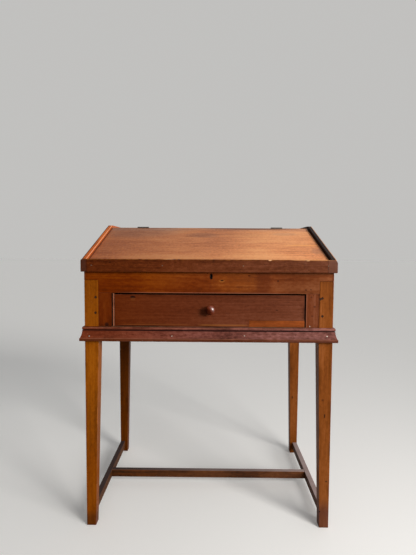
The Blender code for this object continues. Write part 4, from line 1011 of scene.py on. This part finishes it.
# %% [markdown]
# ## Making pieces
#
# A few small tools serve every piece that is made here. One turns a profile about a line, as a lathe
# does. One draws an outline from curves. The last closes a mesh into an object: it merges doubled points,
# points the faces outwards, smooths all but the sharp edges, and fixes the object to the body of the desk
# that it moves with.

# %% A lathe, a curve, and an end to each piece
MERGE = 1e-6
CREASE = math.radians(35)
FORWARDS = (0, -1, 0)
BACKWARDS = (0, 1, 0)


def aim(place, direction):
    """A frame at a place whose Z looks along a direction."""
    return Matrix.Translation(place) @ Vector(direction).to_track_quat("Z", "Y").to_matrix().to_4x4()


def turn_profile(bm, profile, steps, frame_at):
    """Spin (radius, height) points about Z and put the result into a frame."""
    before = len(bm.verts)
    points = [bm.verts.new((radius, 0.0, height)) for radius, height in profile]
    lines = [bm.edges.new(pair) for pair in zip(points, points[1:])]
    bmesh.ops.spin(bm, geom=points + lines, cent=(0, 0, 0), axis=(0, 0, 1), angle=2 * math.pi, steps=steps,
                   use_merge=True)
    bmesh.ops.transform(bm, matrix=frame_at, verts=list(bm.verts)[before:])


def curve_points(curves, steps):
    """Points along curves that are given by their ends and handles, without doubling where two meet."""
    points = []
    for curve in curves:
        start, first, second, end = (Vector((r, h, 0.0)) for r, h in curve)
        stretch = interpolate_bezier(start, first, second, end, steps)
        points += [(point.x, point.y) for point in stretch[1 if points else 0:]]
    return points


def close_piece(name, bm, body, material, stands_for=None):
    """Make a mesh into a finished piece that rides on a body."""
    bmesh.ops.remove_doubles(bm, verts=bm.verts, dist=MERGE)
    bmesh.ops.recalc_face_normals(bm, faces=bm.faces)
    mesh = bpy.data.meshes.new(name)
    bm.to_mesh(mesh)
    bm.free()
    mesh.shade_smooth()
    mesh.set_sharp_from_angle(angle=CREASE)
    mesh.materials.append(material)
    piece = bpy.data.objects.new(name, mesh)
    bpy.context.scene.collection.objects.link(piece)
    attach(piece, body)
    if stands_for:
        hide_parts(stands_for)
    print(name, "faces:", len(mesh.polygons), "on", body)
    return piece


print("points closer than", MERGE, "m are merged")

# %% [markdown]
# ## The knob
#
# A mushroom knob is turned between centres with its spigot, and the spigot is glued into a hole in the
# drawer front. Its outline is four curves: a small foot, a waist that the fingers close on, the underside
# of the head, and the dome.

# %% Turned knob
KNOB_STEPS = 72
KNOB_CURVE_STEPS = 10
KNOB_SPIGOT = 0.0065
KNOB_GAP = 0.0003
knob_low, knob_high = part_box("drawer_knob")
knob_middle = (knob_low + knob_high) / 2
knob_place = Vector((knob_middle.x, FRONT, knob_middle.z))
KNOB_RADIUS = knob_high.x - knob_middle.x
KNOB_REACH = FRONT - knob_low.y
KNOB_END = FRONT - knob_high.y
KNOB_CURVES = [
    ((0.0105, KNOB_GAP), (0.0112, 0.0020), (0.0086, 0.0040), (0.0080, 0.0072)),
    ((0.0080, 0.0072), (0.0076, 0.0115), (0.0112, 0.0142), (0.0152, 0.0160)),
    ((0.0152, 0.0160), (0.0170, 0.0167), (KNOB_RADIUS, 0.0180), (KNOB_RADIUS, 0.0198)),
    ((KNOB_RADIUS, 0.0198), (KNOB_RADIUS, 0.0262), (0.0118, KNOB_REACH), (0.0, KNOB_REACH)),
]
spigot = [(0.0, KNOB_END), (KNOB_SPIGOT, KNOB_END), (KNOB_SPIGOT, KNOB_GAP)]
knob_outline = spigot + curve_points(KNOB_CURVES, KNOB_CURVE_STEPS)
bm = bmesh.new()
turn_profile(bm, knob_outline, KNOB_STEPS, aim(knob_place, FORWARDS))
close_piece("turned_knob", bm, "drawer", WOODS["drawer_knob"], "drawer_knob")

# %% [markdown]
# ## The waist moulding
#
# The moulding was run with a plane: a bead on top, a narrow quirk under it, a flare and a square fillet.
# A moulding is one outline carried along a line, so the outline is laid at one end and extruded to the
# other, and the ends that meet are mitred. The long edges are then cut into short stretches, and the hand
# of the maker is added: each point that stands well proud moves in by a fraction of a millimetre, and a
# few knocks move it more. Points only ever move inwards, so the moulding stays within its size.

# %% The moulding's outline
FIT = 0.0003
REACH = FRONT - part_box("moulding_front")[0].y
MOULDING_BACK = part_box("moulding_left")[1].y
MOULDING_CURVES = [
    ((0.0135, 0.0), (0.0152, 0.0), (REACH, 0.0013), (REACH, 0.003)),
    ((REACH, 0.003), (REACH, 0.006), (REACH, 0.008), (REACH, 0.010)),
    ((REACH, 0.010), (REACH, 0.0112), (0.0156, 0.012), (0.0145, 0.012)),
    ((0.0145, 0.012), (0.0108, 0.0190), (0.0082, 0.0280), (0.0072, 0.040)),
    ((0.0072, 0.040), (0.0062, 0.0400), (0.0048, 0.0402), (0.0048, 0.0412)),
    ((0.0048, 0.0412), (0.0050, 0.0420), (0.0066, 0.0420), (0.0072, 0.0422)),
    ((0.0072, 0.0422), (0.0085, 0.0455), (0.0085, 0.0500), (0.0062, 0.0522)),
    ((0.0062, 0.0522), (0.0055, 0.0530), (0.0040, 0.0530), (FIT, 0.0530)),
]
MOULDING_CURVE_STEPS = 7
outline = [(FIT, 0.0)] + curve_points(MOULDING_CURVES, MOULDING_CURVE_STEPS)
print("points in the outline:", len(outline), "reach:", round(REACH, 4))

# %% Running an outline along a line
MOULDING_STRETCH = 0.006
MOSTLY_ALONG = 0.9
HAND_DEPTH = 0.0003
HAND_WAVES = 40.0
KNOCK_HALF = 0.009
WORN_FROM = 0.006
# Where along a run each knock is, and how deep
KNOCKS = ((-0.205, 0.0016), (-0.031, 0.0010), (0.094, 0.0013), (0.262, 0.0016), (0.391, 0.0012),
          (-0.386, 0.0014))


def cut_lengthwise(bm, direction, stretch):
    """Cut the edges that run along a direction into stretches of about the given length."""
    way = Vector(direction)

    def runs_along(edge):
        run = edge.verts[1].co - edge.verts[0].co
        return abs(run.dot(way)) > MOSTLY_ALONG * run.length > stretch

    long_edges = [edge for edge in bm.edges if runs_along(edge)]
    cuts = int(max(edge.calc_length() for edge in long_edges) / stretch)
    bmesh.ops.subdivide_edges(bm, edges=long_edges, cuts=cuts)


def sorted_like(far, places):
    """The end places in the order of the extruded points, which still lie on the start places."""
    return [min(places.items(), key=lambda pair: (pair[0].co - vertex.co).length)[1] for vertex in far]


def run_moulding(start, end, inward, along):
    """Carry the outline from one end to the other. Each end says where a reach and a height lie on it."""
    bm = bmesh.new()
    face = bm.faces.new([bm.verts.new(start(reach, height)) for reach, height in outline])
    places = {vertex: end(*point) for vertex, point in zip(face.verts, outline)}
    grown = bmesh.ops.extrude_face_region(bm, geom=[face], use_keep_orig=True)["geom"]
    far = [vertex for vertex in grown if isinstance(vertex, bmesh.types.BMVert)]
    for vertex, place in zip(far, sorted_like(far, places)):
        vertex.co = place
    cut_lengthwise(bm, along, MOULDING_STRETCH)
    for vertex in bm.verts:
        hollow = HAND_DEPTH * (1.0 + noise.noise(vertex.co * HAND_WAVES))
        for knock, depth in KNOCKS:
            hollow += depth * max(0.0, 1.0 - abs(vertex.co.dot(along) - knock) / KNOCK_HALF)
        if (start(0.0, 0.0) - vertex.co).dot(inward) > WORN_FROM:
            vertex.co += inward * hollow
    return bm


print("cut into stretches of", MOULDING_STRETCH, "m, with knocks:", len(KNOCKS))

# %% Front and side mouldings
def front_mitre(sign):
    """One end of the front moulding, a hair short of the mitre."""
    def place(reach, height):
        return Vector((sign * (CASE_HALF + reach - FIT), FRONT - reach, WAIST_FOOT + height))
    return place


def side_mitre(sign):
    """The front end of a side moulding, a hair short of the mitre."""
    def place(reach, height):
        return Vector((sign * (CASE_HALF + reach), FRONT + FIT - reach, WAIST_FOOT + height))
    return place


def side_back(sign):
    """The square back end of a side moulding."""
    def place(reach, height):
        return Vector((sign * (CASE_HALF + reach), MOULDING_BACK, WAIST_FOOT + height))
    return place


bm = run_moulding(front_mitre(-1), front_mitre(1), Vector(BACKWARDS), Vector((1, 0, 0)))
close_piece("run_moulding_front", bm, "case", WOODS["moulding_front"], "moulding_front")
for side, sign in (("left", -1), ("right", 1)):
    bm = run_moulding(side_mitre(sign), side_back(sign), Vector((-sign, 0, 0)), Vector(BACKWARDS))
    node = f"moulding_{side}"
    close_piece(f"run_{node}", bm, "case", WOODS[node], node)

# %% [markdown]
# ## The lid's front lip
#
# This strip is what a sleeve and a wrist rub against, so its corners are round, its arrises are soft and
# its top edge has lost chips. A cube scaled to the strip is bevelled wide at three of its corners and
# then narrow along every arris, and cut lengthwise so that its top edge can wander and dip.

# %% Worn front lip
# Which end, whether top or foot, and how round
LIP_CORNERS = ((-1, 1, 0.008), (1, 1, 0.0135), (1, -1, 0.004))
LIP_CORNER_STEPS = 8
LIP_SOFT = 0.0014
LIP_SOFT_STEPS = 3
LIP_STRETCH = 0.004
DIP_DEPTH = 0.0002
DIP_WAVES = 22.0
DIP_ROW = 3.0
DIP_DOWN = 0.010
DIP_BACK = 0.012
DIP_LEAN = 0.7
# Where along the lip each chip is, half its length, and its depth
CHIPS = ((-0.126, 0.010, 0.0026), (-0.108, 0.006, 0.0018), (0.352, 0.012, 0.0024), (0.021, 0.005, 0.0012),
         (-0.331, 0.007, 0.0014), (0.214, 0.005, 0.0011))
lip_low, lip_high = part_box("lid_front_lip")
lip_size = lip_high - lip_low
lip_middle = (lip_low + lip_high) / 2


def round_edges(bm, edges, radius, steps):
    """Give edges a round of a radius."""
    bmesh.ops.bevel(bm, geom=edges, offset=radius, offset_type="OFFSET", segments=steps, profile=0.5,
                    affect="EDGES", clamp_overlap=True, material=-1)


bm = bmesh.new()
bmesh.ops.create_cube(bm, size=1.0, matrix=Matrix.Translation(lip_middle) @ Matrix.Diagonal((*lip_size, 1.0)))
for end, top, radius in LIP_CORNERS:
    corner = Vector((lip_middle.x + end * lip_size.x / 2, 0.0, lip_middle.z + top * lip_size.z / 2))
    through = [e for e in bm.edges if all((v.co - corner).xz.length < MERGE for v in e.verts)]
    round_edges(bm, through, radius, LIP_CORNER_STEPS)
arrises = [e for e in bm.edges if e.calc_face_angle(0.0) > CREASE]
round_edges(bm, arrises, LIP_SOFT, LIP_SOFT_STEPS)
cut_lengthwise(bm, (1, 0, 0), LIP_STRETCH)
for vertex in bm.verts:
    x, y, z = vertex.co
    nearness = max(0.0, 1.0 - (lip_high.z - z) / DIP_DOWN) * max(0.0, 1.0 - (y - lip_low.y) / DIP_BACK)
    dip = DIP_DEPTH * (1.0 + noise.noise(Vector((x * DIP_WAVES, 0.0, DIP_ROW))))
    dip += sum(depth * max(0.0, 1.0 - abs(x - middle) / half) for middle, half, depth in CHIPS)
    vertex.co.z -= dip * nearness
    vertex.co.y += DIP_LEAN * dip * nearness
close_piece("worn_front_lip", bm, "lid", WOODS["lid_front_lip"], "lid_front_lip")

# %% [markdown]
# ## Nails
#
# Cut nails hold the lip and the moulding. Their heads were dressed with a file, which leaves them low and
# not quite round. A head is a short profile on the lathe tool, squeezed and turned by chance, so that no
# two are alike. The nails in the posts, and one in the lip, went in deeper and are dark.

# %% A nail head
NAIL_STEPS = 20
NAIL_SQUEEZE = (0.78, 0.95)
HEAD_SUNK = 0.0012
# Points of a crown as shares of the head's radius and height
NAIL_CROWN = ((0.0, 1.0), (0.55, 0.92), (0.85, 0.55), (1.0, 0.0))
dice = random.Random(11)


def head_profile(crown, radius, proud):
    """A head's profile from the top of its crown to its middle below the surface."""
    crown_points = [(across * radius, up * proud) for across, up in crown]
    return crown_points + [(radius, -HEAD_SUNK), (0.0, -HEAD_SUNK)]


def add_nail(bm, place, direction, size):
    """A nail head of a radius and a height, squeezed and turned by chance."""
    squeeze = Matrix.Diagonal((1.0, dice.uniform(*NAIL_SQUEEZE), 1.0, 1.0))
    roll = Matrix.Rotation(dice.uniform(0.0, math.pi), 4, "Z")
    turn_profile(bm, head_profile(NAIL_CROWN, *size), NAIL_STEPS, aim(place, direction) @ roll @ squeeze)


print("points in a nail's profile:", len(head_profile(NAIL_CROWN, 1.0, 1.0)))

# %% Nails in the lip, the moulding and the posts
# Radius and height of each kind of head
LIP_NAIL = (0.0021, 0.0003)
MOULDING_NAIL = (0.0026, 0.0006)
STILE_NAIL = (0.0022, 0.0003)
POST_NAIL = (0.0023, 0.00012)
SUNK_LIP_NAIL = (0.0019, 0.00012)
LIP_NAILS = ((-0.4257, 0.988), (-0.168, 0.988), (0.1246, 0.988), (0.4311, 0.990))
MOULDING_NAILS = ((-0.4377, 0.728), (-0.1342, 0.730), (0.1318, 0.733), (0.4335, 0.733))
STILE_NAIL_PLACE = on_front(0.3717, 0.7668)
SUNK_LIP_NAIL_X = 0.4300
SUNK_LIP_NAIL_Z = 0.9800
MOULDING_NAIL_SUNK = 0.0004
MOULDING_SLICE = 0.0035
OFF_THE_FLARE = (0, -0.92, 0.39)
LIP_FACE = lip_low.y


def moulding_face(z):
    """Where the moulding's face is at a height, read from its outline."""
    return FRONT - max(reach for reach, height in outline if abs(WAIST_FOOT + height - z) < MOULDING_SLICE)


bm = bmesh.new()
for x, z in LIP_NAILS:
    add_nail(bm, (x, LIP_FACE, z), FORWARDS, LIP_NAIL)
close_piece("lip_nails", bm, "lid", rubbed_iron)

bm = bmesh.new()
for x, z in MOULDING_NAILS:
    add_nail(bm, (x, moulding_face(z) + MOULDING_NAIL_SUNK, z), OFF_THE_FLARE, MOULDING_NAIL)
add_nail(bm, STILE_NAIL_PLACE, FORWARDS, STILE_NAIL)
close_piece("moulding_nails", bm, "case", pale_iron)

bm = bmesh.new()
for x, z in LEFT_POST_NAILS + RIGHT_POST_NAILS:
    add_nail(bm, on_front(x, z), FORWARDS, POST_NAIL)
close_piece("post_nails", bm, "case", black_iron)

bm = bmesh.new()
add_nail(bm, (SUNK_LIP_NAIL_X, LIP_FACE, SUNK_LIP_NAIL_Z), FORWARDS, SUNK_LIP_NAIL)
close_piece("lip_hole", bm, "lid", black_iron)

# %% [markdown]
# ## Screws
#
# A slotted screw is turned like a nail head and then sawn: two planes cut the head on both sides of the
# slot, and the strip between them is pressed down. Three hold each leaf of a hinge, four hold the lock,
# and two hold the lock's plate on the lid. They show when the lid is up.

# %% A slotted screw
SCREW_STEPS = 24
SCREW_CROWN = ((0.0, 1.0), (0.7, 0.96), (0.93, 0.6), (1.0, 0.0))
SLOT_SHARE = 0.16
SLOT_DEPTH = 0.0004
LOOKS_UP = 0.2


def add_screw(bm, place, direction, size):
    """A slotted screw head of a radius and a height, turned by chance."""
    radius, proud = size
    head = bmesh.new()
    turn_profile(head, head_profile(SCREW_CROWN, radius, proud), SCREW_STEPS, Matrix.Identity(4))
    bmesh.ops.remove_doubles(head, verts=head.verts, dist=MERGE)
    bmesh.ops.recalc_face_normals(head, faces=head.faces)
    half = SLOT_SHARE * radius
    for side in (-half, half):
        bmesh.ops.bisect_plane(head, geom=head.verts[:] + head.edges[:] + head.faces[:], dist=MERGE,
                               plane_co=(0, side, 0), plane_no=(0, 1, 0))
    strip = [f for f in head.faces if abs(f.calc_center_median().y) < half and f.normal.z > LOOKS_UP]
    grown = bmesh.ops.extrude_face_region(head, geom=strip)["geom"]
    pressed = [v for v in grown if isinstance(v, bmesh.types.BMVert)]
    bmesh.ops.translate(head, verts=pressed, vec=(0, 0, -SLOT_DEPTH))
    bmesh.ops.delete(head, geom=strip, context="FACES")
    roll = Matrix.Rotation(dice.uniform(0, math.pi), 4, "Z")
    bmesh.ops.transform(head, matrix=aim(place, direction) @ roll, verts=head.verts)
    made = bpy.data.meshes.new("screw")
    head.to_mesh(made)
    head.free()
    bm.from_mesh(made)
    bpy.data.meshes.remove(made)


print("a slot is", SLOT_SHARE, "of its head wide and", SLOT_DEPTH, "m deep")

# %% Screws in the hinges and the lock
HINGE_AXIS = Vector((0.0, 0.1045, 1.148))
LEAF_FACE = 0.0003
LEAF_DROP = 0.0098
LEAF_SPREAD = 0.0175
# Radius and height of each kind of head
LEAF_SCREW = (0.0026, 0.00015)
LOCK_SCREW = (0.0030, 0.0004)
PLATE_SCREW = (0.0026, 0.0003)
LOCK_INSET = 0.008
PLATE_INSET = 0.006
SAME_WAY = 0.99

for leaf, body, way in (("hinge_top_leaf", "case", 1), ("hinge_lid_leaf", "lid", -1)):
    bm = bmesh.new()
    for side in ("left", "right"):
        low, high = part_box(f"{leaf}_{side}")
        for step in (-1, 0, 1):
            x = (low.x + high.x) / 2 + step * LEAF_SPREAD
            place = Vector((x, HINGE_AXIS.y + way * LEAF_FACE, HINGE_AXIS.z - LEAF_DROP))
            add_screw(bm, place, (0, -way, 0), LEAF_SCREW)
    close_piece(f"{leaf}_screws", bm, body, browned_iron)

bm = bmesh.new()
low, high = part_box("lock_case")
for x in (low.x + LOCK_INSET, high.x - LOCK_INSET):
    for z in (low.z + LOCK_INSET, high.z - LOCK_INSET):
        add_screw(bm, (x, high.y, z), BACKWARDS, LOCK_SCREW)
close_piece("lock_case_screws", bm, "case", browned_iron)

bm = bmesh.new()
under = Vector((0.0, math.sin(LID_SLOPE), -math.cos(LID_SLOPE)))
plate_faces = [f for f in NODES["lock_link_plate"].data.polygons if f.normal.dot(under) > SAME_WAY]
plate_level = min(plate_faces, key=lambda f: f.center.dot(under)).center
low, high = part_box("lock_link_plate")
for x in (low.x + PLATE_INSET, high.x - PLATE_INSET):
    add_screw(bm, Vector((x, plate_level.y, plate_level.z)), under, PLATE_SCREW)
close_piece("link_plate_screws", bm, "lid", browned_iron)

# %% [markdown]
# ## The back
#
# The back board is nailed along both of its ends. These nails were driven almost flush and left to rust.

# %% Back nails
BACK_NAIL = (0.0034, 0.0004)
BACK_NAIL_ROWS = 5
BACK_NAIL_INSET = 0.009
BACK_NAIL_MARGIN = 0.030
low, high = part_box("back_board")
row_step = (high.z - low.z - 2 * BACK_NAIL_MARGIN) / (BACK_NAIL_ROWS - 1)
bm = bmesh.new()
for x in (low.x + BACK_NAIL_INSET, high.x - BACK_NAIL_INSET):
    for row in range(BACK_NAIL_ROWS):
        add_nail(bm, (x, high.y, low.z + BACK_NAIL_MARGIN + row * row_step), BACKWARDS, BACK_NAIL)
close_piece("back_nails", bm, "case", browned_iron)
